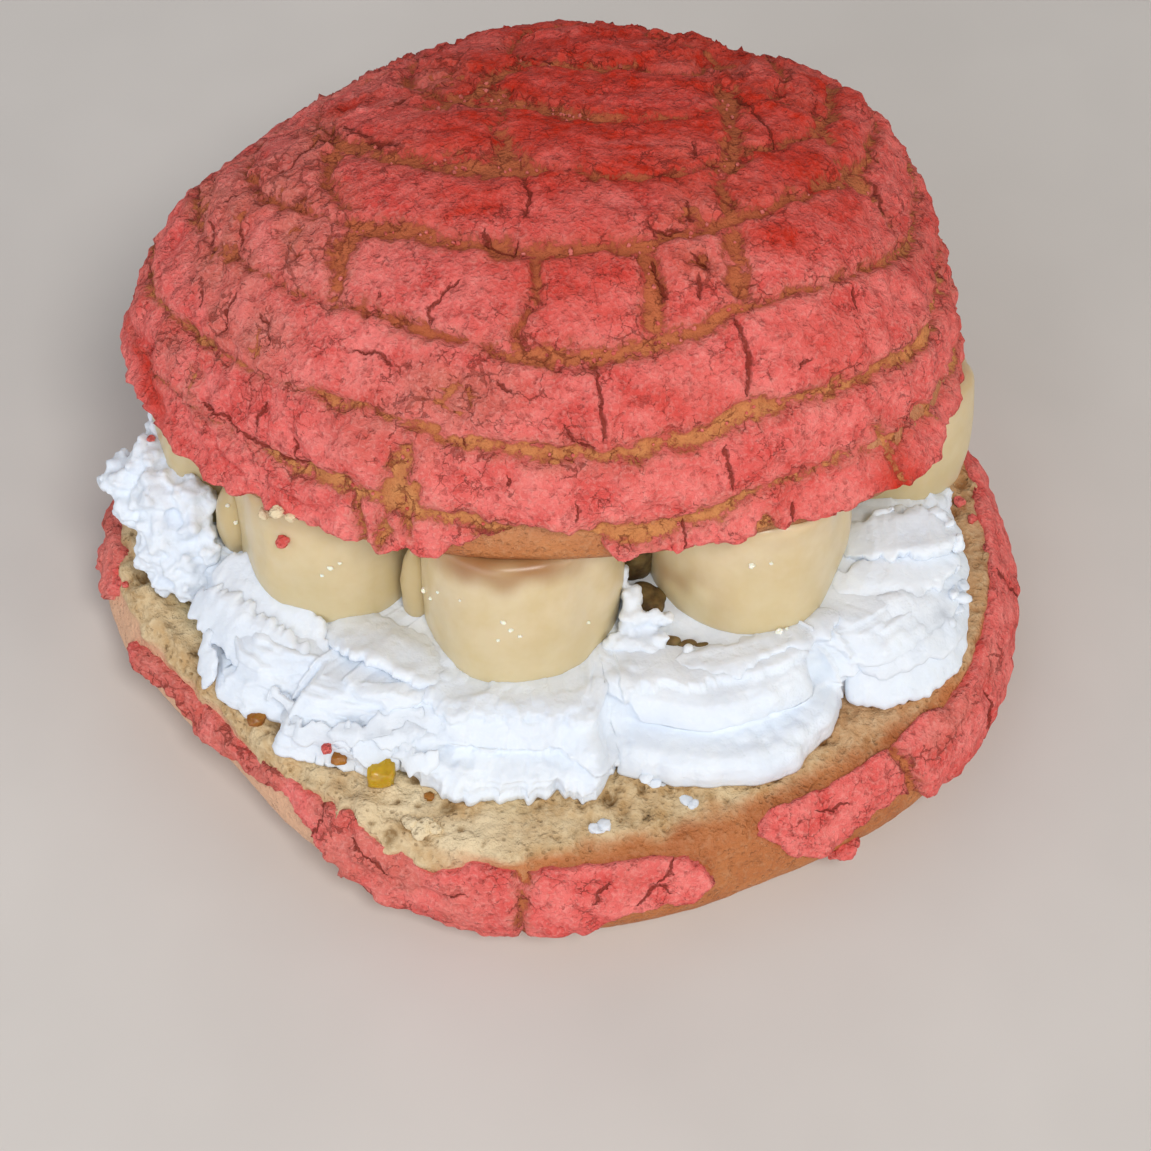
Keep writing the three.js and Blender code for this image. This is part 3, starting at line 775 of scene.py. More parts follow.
def topCrustPiece():
    shape = crustShape
    even = np.arange(shape["steps"]) / shape["steps"] * fullTurn
    angle = even - shape["frontPull"] * np.cos(even)          # closer together at the front
    ring = np.linspace(0.004, 0.97, shape["rings"] - shape["rimRings"])
    ring = np.concatenate([ring, np.linspace(0.975, 1.0, shape["rimRings"])])
    ring, angle = np.meshgrid(ring, angle, indexing="ij")
    base = dome(ring, angle)
    x, y = upper["disc"] * ring * np.cos(angle), upper["disc"] * ring * np.sin(angle)
    shift = ragged(base, 100)
    movedX, movedY = x + shift[..., 0], y + shift[..., 1]
    edge = upper["disc"] - shape["rimInset"] + layered(base, 130, shape["rim"]) - np.hypot(x, y)
    bareX, bareY, wide, deep = topScores["bareFront"]
    bare = (np.hypot((movedX - bareX) / wide, (movedY - bareY) / deep) - 1) * deep
    bare = np.minimum(bare, edge)
    closing = layered(base, 132, shape["closing"]) + 0.3 * smooth(-x, 18, 36) * smooth(y, -34, -20)
    gap = topGap(movedX, movedY) + closing
    crack = crackField(x, y, topScores["cracks"])
    crumble = spots(x, y, topScores["crumbly"]) * smooth(softNoise(base, 5, 140), -0.6, 0.4)
    offset, split = crustRelief(base, np.minimum(gap, bare + 1), bare, crack, crumble, 200)
    offset = offset + smooth(ring, 0.45, 0.8) * layered(base, 135, shape["lumps"]) * smooth(bare, 0, 0.6)
    offset = offset - topSunk(x, y, ring, base)
    normal = gridNormals(base, domeMiddle)
    outer = base + normal * offset[..., None]
    inner = (base - normal * shape["innerDepth"])[::-1][::shape["rings"] // shape["innerRings"]]
    opened = np.maximum(np.clip(2 - gap, 0, 4), 2.4 * split * smooth(crumble, 0.55, 0.9))
    golden = smooth(np.hypot(x, y), 26, 52)
    masks = crustMasks(crumble, split, crack, topSmears(x, y, base), opened, golden)
    pad = np.zeros(inner.shape[:2])
    masks = {label: withEnds(np.concatenate([values, pad])) for label, values in masks.items()}
    points, faces = closedRings(tipped(np.concatenate([outer, inner])))
    settle(newPiece("topCrust", points, faces, sugarCrust, masks), "sugar_crust", "top_topping")
    low = (gap < -0.2) & (bare > 0.5)
    return tipped(outer)[low], tipped(outer + normal)[low]


# upper half's bread: baked skin over the dome, crumb on its cut face

topBread = {"steps": 360, "rings": 56, "faceRings": 34, "middleRings": 8, "moreInset": 1.9,
            "wrinkle": [(6, 0.2, 0), (1.6, 0.1, 1)]}
crumbShape = {"pores": [(2.7, 1.0, 0), (1.5, 1.3, 5)], "fullPore": 0.55,
              "lumps": [(4.5, 0.35, 10), (1.5, 0.34, 11), (0.8, 0.16, 12)]}


def poreDepth(points, size, seed):   # round holes of many sizes
    first, _, tag = cellNoise(points, size, seed)
    radius = size * (0.16 + 0.34 * tag ** 2)
    return np.clip(radius - first, 0, None)


def crumbRelief(points, seed):       # height of the crumb, and how deep its pores are
    pores = sum(poreDepth(points, size, seed + step) * share for size, share, step in crumbShape["pores"])
    lumps = layered(points, seed, crumbShape["lumps"])
    return lumps - pores, np.clip(pores / crumbShape["fullPore"], 0, 1)


def topBreadPiece():
    angle = np.arange(topBread["steps"]) / topBread["steps"] * fullTurn
    ring, angle = np.meshgrid(np.linspace(0.01, 1, topBread["rings"]), angle, indexing="ij")
    base = dome(ring, angle)
    normal = gridNormals(base, domeMiddle)
    deep = crustShape["breadInset"] + topBread["moreInset"] * (1 - smooth(ring, 0.8, 0.93))
    skin = base + normal * (layered(base, 300, topBread["wrinkle"]) - deep)[..., None]
    skin[..., :2] *= (1 - 0.012 * smooth(ring, 0.955, 1) ** 2)[..., None]      # turned in at the rim
    spread = np.linspace(0.985, 0.6, topBread["faceRings"] - topBread["middleRings"])
    spread = np.concatenate([spread, np.linspace(0.55, 0.03, topBread["middleRings"])])
    face = np.stack([skin[-1] * share for share in spread])
    face[..., 2] = 0
    relief, poreShade = crumbRelief(face, 320)
    face[..., 2] -= np.minimum(relief, 0.2) * smooth(1 - spread, 0.0, 0.06)[:, None]
    grid = np.concatenate([skin, face])
    none = np.zeros(ring.shape)
    shares = np.repeat(spread[:, None], topBread["steps"], 1)
    masks = {"crumb": np.concatenate([none, smooth(1 - shares, 0.005, 0.05)]),
             "poreShade": np.concatenate([none, poreShade]),
             "bake": np.concatenate([0.75 + 0.25 * smooth(ring, 0.8, 1), np.ones(face.shape[:2])]),
             "soak": np.zeros(grid.shape[:2]), "light": np.zeros(grid.shape[:2])}
    points, faces = closedRings(tipped(grid))
    masks = {label: withEnds(values) for label, values in masks.items()}
    settle(newPiece("topBread", points, faces, bread, masks), "bread", "top_bun")


# lower half: bread with a torn rim on the left, and its patches of sugar crust

bottomShape = {"steps": 640, "soft": 0.05, "softFront": 0.08, "breadInset": 0.8, "crustSteps": 820,
               "crustRows": 58, "crustLow": 0.1, "crustHigh": 1.22, "crustEnd": 0.02, "innerEvery": 8,
               "crustLumps": [(5, 0.4, 0), (2.2, 0.4, 1), (1.2, 0.2, 2)],
               "wrinkle": [(6, 0.25, 0), (1.5, 0.1, 1)], "tear": [(3.4, 0.9, 0), (1.3, 0.7, 1)]}
# degrees round from the right, and the crust's low and high edge there as shares of the side
bottomPatches = {
    "turn": [-180, -176, -174.5, -171, -169, -165, -160, -155, -150, -145, -140, -135, -131, -126, -123,
             -118, -113, -109, -104, -97, -91, -84, -78, -74, -71, -68.5, -67, -62, -60.5, -58, -56, -52,
             -48, -44, -40, -34, -30, -26, -22, -17, -11, -5, 1, 8, 15, 30, 60, 100, 140, 170, 180],
    "low": [0.6, 0.62, 0.75, 0.6, 0.54, 0.54, 0.52, 0.46, 0.5, 0.58, 0.64, 0.68, 0.68, 0.57, 0.34, 0.28,
            0.22, 0.2, 0.2, 0.22, 0.38, 0.48, 0.6, 0.56, 0.56, 0.66, 0.9, 0.95, 0.85, 0.72, 0.58, 0.53,
            0.57, 0.65, 0.68, 0.42, 0.38, 0.34, 0.32, 0.3, 0.3, 0.32, 0.34, 0.34, 0.32, 0.26, 0.3, 0.26,
            0.3, 0.36, 0.6],
    "high": [0.98, 0.9, 0.7, 0.55, 0.68, 0.78, 0.79, 0.78, 0.78, 0.79, 0.85, 0.91, 0.92, 0.96, 1.0, 0.93,
             0.9, 0.8, 0.95, 0.96, 1.02, 1.03, 1.04, 1.0, 0.95, 0.7, 0.6, 0.6, 1.0, 1.08, 1.1, 1.08,
             1.08, 1.09, 1.12, 1.12, 1.1, 0.97, 0.95, 1.0, 1.02, 1.04, 1.08, 1.1, 1.02, 0.97, 0.99, 0.96,
             0.98, 0.95, 0.98],
    "grooves": [(-95.8, 0.4), (-37.3, 0.5), (22, 0.7), (48, 0.5), (71, 0.8), (97, 0.5), (124, 0.8),
                (151, 0.6)],
    "cracks": [(0.3, (-80.5, 0.64), (-77, 0.8), (-74, 0.72)), (0.3, (-77, 0.8), (-73, 0.98)),
               (0.25, (-52, 0.9), (-46, 0.84)), (0.3, (-128.5, 0.6), (-127, 0.8), (-128, 1)),
               (0.25, (-122, 0.8), (-117, 0.74), (-114, 0.6)), (0.25, (-108, 0.66), (-103, 0.72)),
               (0.25, (-86, 0.7), (-83, 0.9)), (0.25, (-21, 0.4), (-20, 0.8)),
               (0.25, (-3, 0.5), (-4, 1))],
    "sideLength": 22, "perDegree": 0.9,     # millimetres up the side, and for a degree along a crack
}


# millimetres inside a patch's outline, millimetres beside its grooves, and its cracks
def bottomGap(share, angle, shift):
    tall, perDegree = bottomPatches["sideLength"], bottomPatches["perDegree"]
    degree = np.radians(1) * around(lower["reach"], angle)      # millimetres for one degree round the side
    turn = signedTurn(angle) + shift[..., 0] / degree
    up = share * tall + shift[..., 2]
    low = np.interp(turn, bottomPatches["turn"], bottomPatches["low"]) * tall
    high = np.interp(turn, bottomPatches["turn"], bottomPatches["high"]) * tall
    gap = np.full(turn.shape, farAway)
    for bearing, half in bottomPatches["grooves"]:
        gap = np.minimum(gap, np.abs(turn - bearing) * degree - half)
    cracks = []
    for half, *points in bottomPatches["cracks"]:
        cracks.append((half, *[(bearing * perDegree, level * tall) for bearing, level in points]))
    return np.minimum(up - low, high - up), gap, crackField(turn * perDegree, up, cracks)


def frontSoft(angle):                # 1 where the rim is baked and rounded at the front right
    turn = signedTurn(angle)
    return smooth(turn, -100, -85) * (1 - smooth(turn, -35, -15))


def leftTorn(angle):                 # 1 along the torn rim on the left
    turn = signedTurn(angle)
    return np.maximum(1 - smooth(turn, -112, -95), smooth(turn, 150, 170)) * 0.8 + 0.2


def bottomBase(share, angle):
    return roundedSide(share, angle, bottomShape["soft"] + bottomShape["softFront"] * frontSoft(angle))


def bottomCrustPiece():
    shape = bottomShape
    steps = shape["crustSteps"]
    share = np.linspace(shape["crustLow"], shape["crustHigh"], shape["crustRows"])
    share, angle = np.meshgrid(share, np.arange(steps) / steps * fullTurn, indexing="ij")
    base = bottomBase(share, angle)
    bare, gap, crack = bottomGap(share, angle, ragged(base, 400))
    ends = np.minimum(share - shape["crustLow"], shape["crustHigh"] - share) - shape["crustEnd"]
    bare = np.minimum(bare, ends * bottomPatches["sideLength"] - 0.5)
    gap = gap + softNoise(base, 3, 415) * 0.3
    tornRim = leftTorn(angle)
    crumble = smooth(softNoise(base, 8, 420), 0.25, 0.8) * 0.5
    crumble = np.maximum(crumble, 0.75 * (tornRim - 0.2) * smooth(softNoise(base, 4, 421), -0.5, 0.2))
    offset, split = crustRelief(base, np.minimum(gap, bare + 1), bare, crack, crumble, 430)
    offset = offset + layered(base, 422, shape["crustLumps"]) * (0.5 + tornRim) * smooth(bare, 0, 0.8)
    normal = gridNormals(base, lowerMiddle)
    outer = base + normal * offset[..., None]
    inner = (base - normal * crustShape["innerDepth"])[::-1][::shape["innerEvery"]]
    grid = np.concatenate([outer, inner])
    rows = len(grid)
    k = np.arange(steps)
    after = (k + 1) % steps
    faces = []
    for row in range(rows):                                     # the last row joins the first
        low, high = row * steps, (row + 1) % rows * steps
        faces.append(np.stack([low + k, low + after, high + after, high + k], -1))
    smears = smooth(softNoise(base, 9, 425), 0.45, 0.8) * 0.35
    masks = crustMasks(crumble, split, crack, smears, np.clip(2 - gap, 0, 4), np.full(gap.shape, 0.35))
    pad = np.zeros(inner.shape[:2])
    masks = {label: np.concatenate([values, pad]).reshape(-1) for label, values in masks.items()}
    piece = newPiece("bottomCrust", grid.reshape(-1, 3), np.concatenate(faces).tolist(), sugarCrust, masks)
    settle(piece, "sugar_crust", "bottom_topping")


def bottomBreadPiece():
    faceEnd = 1 + lower["faceMean"] / lower["facePerShare"]
    runs = [(0.0, 0.95, 36), (0.97, 2.3, 40), (2.4, faceEnd - 0.05, 20)]   # side, rim, middle of the cut face
    shares = np.concatenate([np.linspace(*run) for run in runs])
    angle = np.arange(bottomShape["steps"]) / bottomShape["steps"] * fullTurn
    share, angle = np.meshgrid(shares, angle, indexing="ij")
    base = bottomBase(share, angle)
    tornRim = leftTorn(angle)
    soft = frontSoft(angle)
    border = share + softNoise(base, 3, 500) * (0.05 + 0.06 * soft)
    crumb = smooth(border, 0.9 + 0.2 * soft, 1.02 + 0.32 * soft)
    tornBorder = share + softNoise(base, 2.5, 501) * 0.06
    crumb = np.maximum(crumb, smooth(tornBorder, 0.74, 0.84) * (tornRim - 0.2) * 1.25)
    relief, poreShade = crumbRelief(base, 520)
    skin = layered(base, 530, bottomShape["wrinkle"]) - bottomShape["breadInset"]
    nearRim = smooth(share, 0.78, 0.95) * (1 - smooth(share, 1.1, 1.35)) * tornRim
    offset = (1 - crumb) * skin + crumb * relief + nearRim * layered(base, 532, bottomShape["tear"])
    offset *= smooth(share, 0.0, 0.12)
    normal = gridNormals(base, lowerMiddle)
    grid = base + normal * offset[..., None]
    grid[..., 2] = np.maximum(grid[..., 2] - base[:1, :, 2] * (1 - smooth(share, 0, 0.3)), 0)
    turn = signedTurn(angle)
    bake = 0.35 + 0.65 * smooth(turn, -125, -90) * (1 - smooth(turn, 60, 110))
    bake = np.clip(bake, 0, 1) * smooth(share, 0, 0.3)
    soak = smooth(softNoise(base, 7, 540) - (share - 1.3) * 0.2, 0.1, 0.7)
    soak = soak * crumb * smooth(share, 1.3, 1.7) * 0.7
    left = (1 - smooth(turn, -165, -140)) * smooth(share, 1.1, 1.4)
    right = smooth(turn, -60, -35) * (1 - smooth(turn, 30, 60))
    light = np.exp(-((turn + 112) / 14) ** 2) * smooth(share, 0.8, 1.0) * (1 - smooth(share, 1.35, 1.7))
    light = light * smooth(softNoise(base, 4, 545), -0.5, 0.3)
    masks = {"crumb": crumb * (1 - 0.4 * right), "poreShade": poreShade * crumb, "bake": np.maximum(bake, 0.25),
             "soak": np.maximum(soak, 0.6 * left), "light": light}
    masks = {label: withEnds(values) for label, values in masks.items()}
    points, faces = closedRings(grid)
    settle(newPiece("bottomBread", points, faces, bread, masks), "bread", "bottom_bun")


# whipped cream: one spread bed whose layers overlap like shingles, with stiff tufts at its ends

cream = {
    "floor": 18.2, "steps": 900, "slope": 56, "flat": 14, "length": 15, "frontPull": 0.42,
    "perDegree": 0.75,               # millimetres for one degree round the bed
    # the foot's reach from the middle at these degrees round
    "skirtTurn": [-180, -172, -169, -165, -158, -151, -146, -142, -140, -138, -131, -126, -120, -113,
                  -101, -90, -84, -82, -79, -74, -68, -60, -55, -48, -42, -37, -34, -29, -21, -10, 3, 20,
                  45, 90, 135, 165, 180],
    "skirtReach": [55, 53, 49, 47.5, 49.2, 49.8, 48, 45.2, 44.6, 47.3, 44.5, 42.8, 40.4, 42.2, 40.8,
                   39.6, 39.7, 37.5, 35, 36.8, 38.8, 42.4, 43.6, 44.4, 44.6, 42.8, 43.7, 48.2, 51.8,
                   52.2, 51.5, 50.5, 51, 51.5, 52, 53, 55],
    # outline of the slope where it has a lip: share up it, then shares of the way in and up
    "lipShare": [0, 0.08, 0.16, 0.24, 0.45, 0.52, 0.6, 0.72, 0.82, 1],
    "lipIn": [0, -0.01, 0.01, 0.08, 0.42, 0.48, 0.51, 0.56, 0.66, 1],
    "lipUp": [0, 0.18, 0.34, 0.43, 0.5, 0.56, 0.74, 0.94, 1, 1],
    # how far in from the foot the crest is at these degrees round, and how high
    "crestTurn": [-180, -165, -150, -140, -131, -124, -118, -105, -90, -75, -56, -45, -33, -22, -10, 5,
                  20, 60, 120, 165, 180],
    "crestIn": [9, 9, 8, 7.5, 7, 9, 12, 12, 11.5, 11.5, 11.5, 9, 7, 7.5, 9, 10, 12, 14, 14, 12, 9],
    "crestUp": [9, 9, 9, 8.5, 8.3, 8.6, 8.8, 8.3, 7.8, 8, 8.3, 8.6, 9.2, 9.5, 10, 9, 8, 7.5, 7.5, 8, 9],
    # noise as size, height and step of the seed
    "teeth": [(1.2, 0.9, 0), (0.55, 0.4, 1)],
    "wavy": [(3.2, 0.6, 0), (1.3, 0.2, 1)],
    "fine": [(1.6, 0.35, 0), (0.8, 0.22, 1)],
    "grain": [(3, 0.15, 0), (1.1, 0.06, 1), (0.6, 0.04, 2)],
    "ribbonLumps": [(3.2, 0.25, 1), (1.3, 0.16, 2), (0.7, 0.08, 4)],
    # each layer: how far it stands out, how torn it is, how soft its edge is, over how many millimetres it
    # fades, and its lower edge as degrees round and share of the slope
    "layers": [
        {"lift": 1.1, "torn": 0.4, "soft": 0.4, "fade": 8,
         "edge": [(-141.5, 0.9), (-140.5, 0.4), (-140, -0.1), (-123, -0.1), (-119, 0.22), (-112.5, 0.47),
                  (-108, 0.5), (-105, 0.44), (-93, 0.54), (-87, 0.4), (-81.5, 0.2), (-77, -0.1),
                  (-36, -0.1), (-34.5, 0.5)]},
        {"lift": 1.0, "torn": 0.35, "soft": 0.5, "fade": 7,
         "edge": [(-135, 1.0), (-129, 0.74), (-122.6, 0.64), (-114.7, 0.66), (-110, 0.72), (-97, 0.76),
                  (-81.5, 0.67), (-75, 0.66), (-72, 0.8), (-65, 0.84), (-55, 0.9), (-45, 0.86),
                  (-36, 0.75), (-33, 1.0)]},
        {"lift": 0.8, "torn": 0.08, "soft": 0.6, "fade": 5,
         "edge": [(-75, 0.72), (-73.4, 0.62), (-71.7, 0.5), (-65, 0.46), (-56.5, 0.52), (-49, 0.53),
                  (-42, 0.42), (-36.4, 0.29), (-33, 0.28), (-31, 1.0)]},
        {"lift": 0.6, "torn": 0.3, "soft": 0.4, "fade": 6,
         "edge": [(-34, 0.9), (-32, 0.4), (-25, 0.42), (-20, 0.36), (-12, 0.3), (0, 0.3), (8, 1.0)]},
    ],
    # each ribbon: how far its outer edge leans down, how torn and lobed that edge is, how square its section
    # is, and x, y, z, half width and half thickness along it
    "ribbons": [
        {"lean": 46, "tear": 0.7, "lobes": 1.6, "square": 0.8,
         "path": [(-46, -12.4, 25, 1.6, 0.9), (-44.2, -14.8, 25.2, 3.2, 1.2),
                  (-40.6, -18.6, 25.2, 4, 1.3), (-36.6, -21.6, 25, 3.8, 1.3),
                  (-32.6, -24, 24.8, 2.8, 1.1), (-28.8, -25.8, 24.6, 1.6, 0.9)]},
        {"lean": 34, "tear": 0.9, "lobes": 1.5, "square": 0.8,
         "path": [(-44.2, -10.8, 26.8, 2, 0.8), (-40.6, -13.2, 27.6, 4, 1.0),
                  (-37.2, -15.8, 27.6, 4.4, 1.0), (-34, -18.4, 27, 4, 1.0), (-31, -21, 26.2, 3, 0.9),
                  (-28.8, -23.4, 25.6, 1.6, 0.7)]},
        {"lean": -14, "tear": 0.5, "lobes": 1.4, "square": 0.6,
         "path": [(-29.6, -20.2, 26.4, 2.4, 0.9), (-26.6, -20.2, 27.2, 3.8, 1.0),
                  (-23, -21.6, 27.5, 4, 1.0), (-19, -23.8, 27.2, 3.8, 1.0), (-15, -26.2, 26.5, 3, 1.0),
                  (-11.5, -28.4, 25.8, 1.8, 0.8)]},
        {"lean": 26, "tear": 0.6, "lobes": 1.4, "square": 0.7,
         "path": [(-29.6, -28, 24, 1.8, 0.9), (-25.4, -28.4, 24.8, 3, 1.2), (-20, -29.6, 25, 3, 1.2),
                  (-14.6, -31.2, 24.6, 2.6, 1.1), (-9, -32.6, 24, 1.6, 0.9)]},
        {"lean": -4, "tear": 0.7, "lobes": 0.8, "square": 0.7,
         "path": [(13.6, -25, 27, 1.4, 0.7), (18.8, -24.8, 27.3, 2.2, 0.8),
                  (23.8, -23.7, 27.5, 2.5, 0.9), (29.5, -21.4, 27.7, 2.3, 0.9),
                  (34.3, -17.8, 28, 1.6, 0.8)]},
        {"lean": 10, "tear": 0.7, "lobes": 0.8, "square": 0.4,
         "path": [(35.2, -8.2, 28, 2.4, 1.3), (39.4, -7.8, 29.2, 3.2, 1.5), (43.6, -7.4, 29.6, 3.3, 1.6),
                  (47.2, -6.6, 29.5, 3, 1.5), (49.6, -4.6, 29, 2.2, 1.3)]},
        {"lean": 16, "tear": 0.9, "lobes": 0.9, "square": 0.5,
         "path": [(33.4, -13.4, 27, 2, 1.0), (38.6, -12.8, 27.6, 2.7, 1.3),
                  (43.6, -12.2, 27.6, 2.8, 1.3), (47.4, -10.6, 27.2, 2.5, 1.2),
                  (49.6, -7.6, 26.8, 1.9, 1.0)]},
        {"lean": 28, "tear": 0.4, "lobes": 1.6, "square": 0.55,
         "path": [(36, -17.2, 25.8, 2.2, 1.2), (41.4, -17, 25.9, 3.4, 1.6), (46, -15.2, 25.3, 3.4, 1.6),
                  (49.2, -10.8, 24.8, 2.6, 1.3), (50.2, -5, 24.2, 1.8, 1.1)]},
        {"lean": 36, "tear": 0.4, "lobes": 1.6, "square": 0.55,
         "path": [(35.6, -20.8, 24, 2, 1.1), (40, -20.8, 24, 3, 1.5), (44.6, -19.4, 23.8, 3, 1.5),
                  (48.4, -15.4, 23.4, 2.8, 1.4), (50.4, -9.5, 22.8, 2, 1.2)]},
        {"lean": 42, "tear": 0.5, "lobes": 1.6, "square": 0.55,
         "path": [(35.4, -24, 20.8, 2, 1.1), (39.8, -23.8, 21, 2.8, 1.5), (44.2, -21.8, 21.1, 3, 1.6),
                  (48.4, -17.4, 21.2, 2.8, 1.5), (50.8, -10.6, 21, 2, 1.2)]},
    ],
    # short flakes torn off the slope, drawn from these ranges: degrees round, share of the slope, length,
    # half width and half thickness
    "flakes": {"count": 7, "points": 5, "tear": 0.9,
               "ranges": [(-164, -118), (0.1, 0.5), (5, 13), (1.0, 2.0), (0.35, 0.6)]},
    # hollows under the folds: degrees round, share of the slope, their half sizes, and depth
    "hollows": [(-155, 0.4, 7, 0.15, 2.2), (-129, 0.55, 4, 0.12, 1.0), (-79, 0.45, 3, 0.2, 1.2),
                (-36, 0.5, 3, 0.3, 1.6), (-54, 1.21, 7, 0.07, 1.8)],
    # the lumps of each tuft: x, y, z and three half sizes
    "leftTuft": [
        (-55.6, 2.2, 30.4, 3.6, 3.2, 3), (-58.4, 2, 28.8, 1.6, 1.6, 1.4), (-52, 2.5, 33, 3.8, 3.6, 3),
        (-47.8, 2, 34.8, 3.6, 3.4, 2.8), (-51, -2, 31.4, 4.2, 3.4, 3.6), (-46.6, -3, 32.6, 3, 2.8, 3.2),
        (-54.6, -1.6, 27.8, 3.2, 2.6, 2.8), (-50.4, -5, 27.8, 4, 3.2, 3.6),
        (-46.2, -5.6, 29.4, 2.8, 2.4, 3), (-52.4, -6, 24.4, 3, 2.6, 2.8), (-48, -7.4, 25, 3.6, 3, 3.4),
        (-45, -7.4, 26.6, 2.2, 2, 2.6), (-50.8, -7.8, 21.6, 2.8, 2.4, 2.6),
        (-47.6, -9, 22.2, 2.8, 2.4, 2.8), (-51, 5, 26, 5, 8, 7), (-47, 12, 27, 4, 6, 6),
        (-49, -3, 24, 4, 5, 5), (-50, 6.5, 35, 3.4, 3.4, 3), (-46.4, 6, 36.4, 3, 3, 2.4),
    ],
    "rightTuft": [
        (48.2, -5.8, 30.2, 1.6, 1.5, 1.4), (49.6, -7.8, 28.8, 1.3, 1.4, 1.5),
        (50.2, -10.2, 27, 1.1, 1.3, 1.4), (49.6, -12.8, 25.6, 1.2, 1.3, 1.4),
        (46.6, -4.6, 31.2, 1.4, 1.2, 1.0), (40.4, -4.6, 31, 1.5, 1.1, 0.9),
        (41.2, -12.6, 28, 1.6, 1.0, 0.7), (43, -13.8, 27.6, 1.2, 1.0, 0.7),
        (47.8, -16.6, 23.4, 1.8, 1.6, 1.7), (43, -3, 24, 6, 5, 4.5), (46, 4, 23.5, 4.5, 6, 4),
        (42.4, -8, 25.4, 5.6, 5, 2.6),
    ],
    "peak": [(7.7, -15.2, 30.8, 0.9, 1.2, 2.6), (8.3, -17.2, 29.6, 1.9, 1.6, 2.6),
             (9.2, -19.4, 28.4, 2.9, 1.8, 2.2), (10.2, -21.6, 27.4, 3.2, 1.7, 1.6),
             (7.6, -22.4, 27, 2.4, 1.5, 1.3), (12.6, -23, 27, 1.7, 1.2, 1.0),
             (12.6, -19.6, 28.2, 1.3, 0.9, 0.8), (15.6, -23.6, 27, 1.4, 0.9, 0.7),
             (18.2, -23.8, 27, 1.2, 0.9, 0.7)],
    "tufts": [("leftTuft", 1.0, 700), ("rightTuft", 1.0, 800), ("peak", 0.8, 850)],   # name, curd, seed
    "voxel": 0.34, "curdSize": 2.1, "smallCurd": 0.95,
}


def joined(bodies):
    points, faces, start = [], [], 0
    for bodyPoints, bodyFaces in bodies:
        points.append(bodyPoints)
        faces += [[k + start for k in face] for face in bodyFaces]
        start += len(bodyPoints)
    return np.concatenate(points), faces


def torn(turn, amount, seed, lobes=1.1):   # millimetres that a torn edge wanders, from degrees round
    along = flatPlaces(turn * cream["perDegree"])
    return amount * (layered(along, seed, cream["teeth"]) + softNoise(along, 4, seed + 2) * lobes)


def lipped(turn):                    # 1 where the bed has a low lip under a steep face
    return np.maximum(0.7 * smooth(turn, -122, -112) * (1 - smooth(turn, -90, -84)),
                      smooth(turn, -80, -73) * (1 - smooth(turn, -39, -33)))


def creamBase(share, turn):          # the bed's plain slope, share 0 at its foot and 1 at its crest
    angle = np.radians(turn)
    foot = np.interp(turn, cream["skirtTurn"], cream["skirtReach"]) - 0.2
    bend = np.minimum(share, 1) * math.pi / 2
    lip = lipped(turn)
    inward = (1 - np.cos(bend)) * (1 - lip) + lip * np.interp(share, cream["lipShare"], cream["lipIn"])
    upward = np.sin(bend) * (1 - lip) + lip * np.interp(share, cream["lipShare"], cream["lipUp"])
    reach = foot - np.interp(turn, cream["crestTurn"], cream["crestIn"]) * inward
    rag = 1 - 0.88 * lip * smooth(turn, -84, -78)
    reach = reach + rag * torn(turn, 0.6, 600) * (1 - smooth(share, 0.05, 0.3))
    reach = reach + rag * torn(turn, 0.25, 610) * (1 - smooth(share, 0.3, 0.6))
    wavy = layered(flatPlaces(turn * cream["perDegree"]), 612, cream["wavy"])
    reach = reach + lip * wavy * (1 - smooth(share, 0.1, 0.3))
    reach = reach * np.maximum(1 - np.maximum(share - 1, 0) * 0.98, 0.01)
    rise = np.interp(turn, cream["crestTurn"], cream["crestUp"]) * upward
    return np.stack([reach * np.cos(angle), reach * np.sin(angle), cream["floor"] + 0.1 + rise], -1)


def creamLayers(share, turn):        # how far the overlapping layers stand out, less the hollows
    offset = np.zeros_like(share)
    for k, layer in enumerate(cream["layers"]):
        bearings, levels = zip(*layer["edge"])
        edge = np.interp(turn, bearings, levels, left=1.4, right=1.4)
        calm = (share - edge) * cream["length"]
        gap = calm + torn(turn, layer["torn"], 620 + 7 * k)
        fade = 1 - 0.8 * smooth(calm, 1, layer["fade"])
        offset = offset + layer["lift"] * smooth(gap, 0, layer["soft"]) * fade
    for middle, level, wide, tall, deep in cream["hollows"]:
        offset -= deep * np.exp(-((turn - middle) / wide) ** 2 - ((share - level) / tall) ** 2)
    return offset


def creamSkin(base, share, turn):    # flakes, comb marks and curds on the bed
    across = turn * cream["perDegree"]
    along = share * cream["length"]
    spread = flatPlaces(across / 6, along / 2.2)
    fine = layered(base, 661, cream["fine"])
    flaky = smooth(softNoise(spread, 1, 660) + fine * 0.6, -0.05, 0.25) * 0.32 - 0.16
    flaky = flaky + smooth(softNoise(spread * 2.1, 1, 663) + fine, 0, 0.2) * 0.16 - 0.08
    comb = flatPlaces(across / 0.7, along / 4)
    flaky = flaky + softNoise(comb, 1, 690) * 0.14 * (1 - smooth(share, 0.5, 0.9))
    calm = smooth(turn, -85, -70) * (1 - smooth(turn, -40, -30)) * 0.85
    first, _, _ = cellNoise(base, 2.4, 680)
    curds = (0.8 - first) * 0.3 * smooth(softNoise(base, 8, 685), 0.1, 0.7)
    skin = flaky * (1 - calm) + layered(base, 670, cream["grain"]) + curds
    return skin * smooth(share, 0, 0.08) * (1 - 0.6 * smooth(share, 1.05, 1.3))


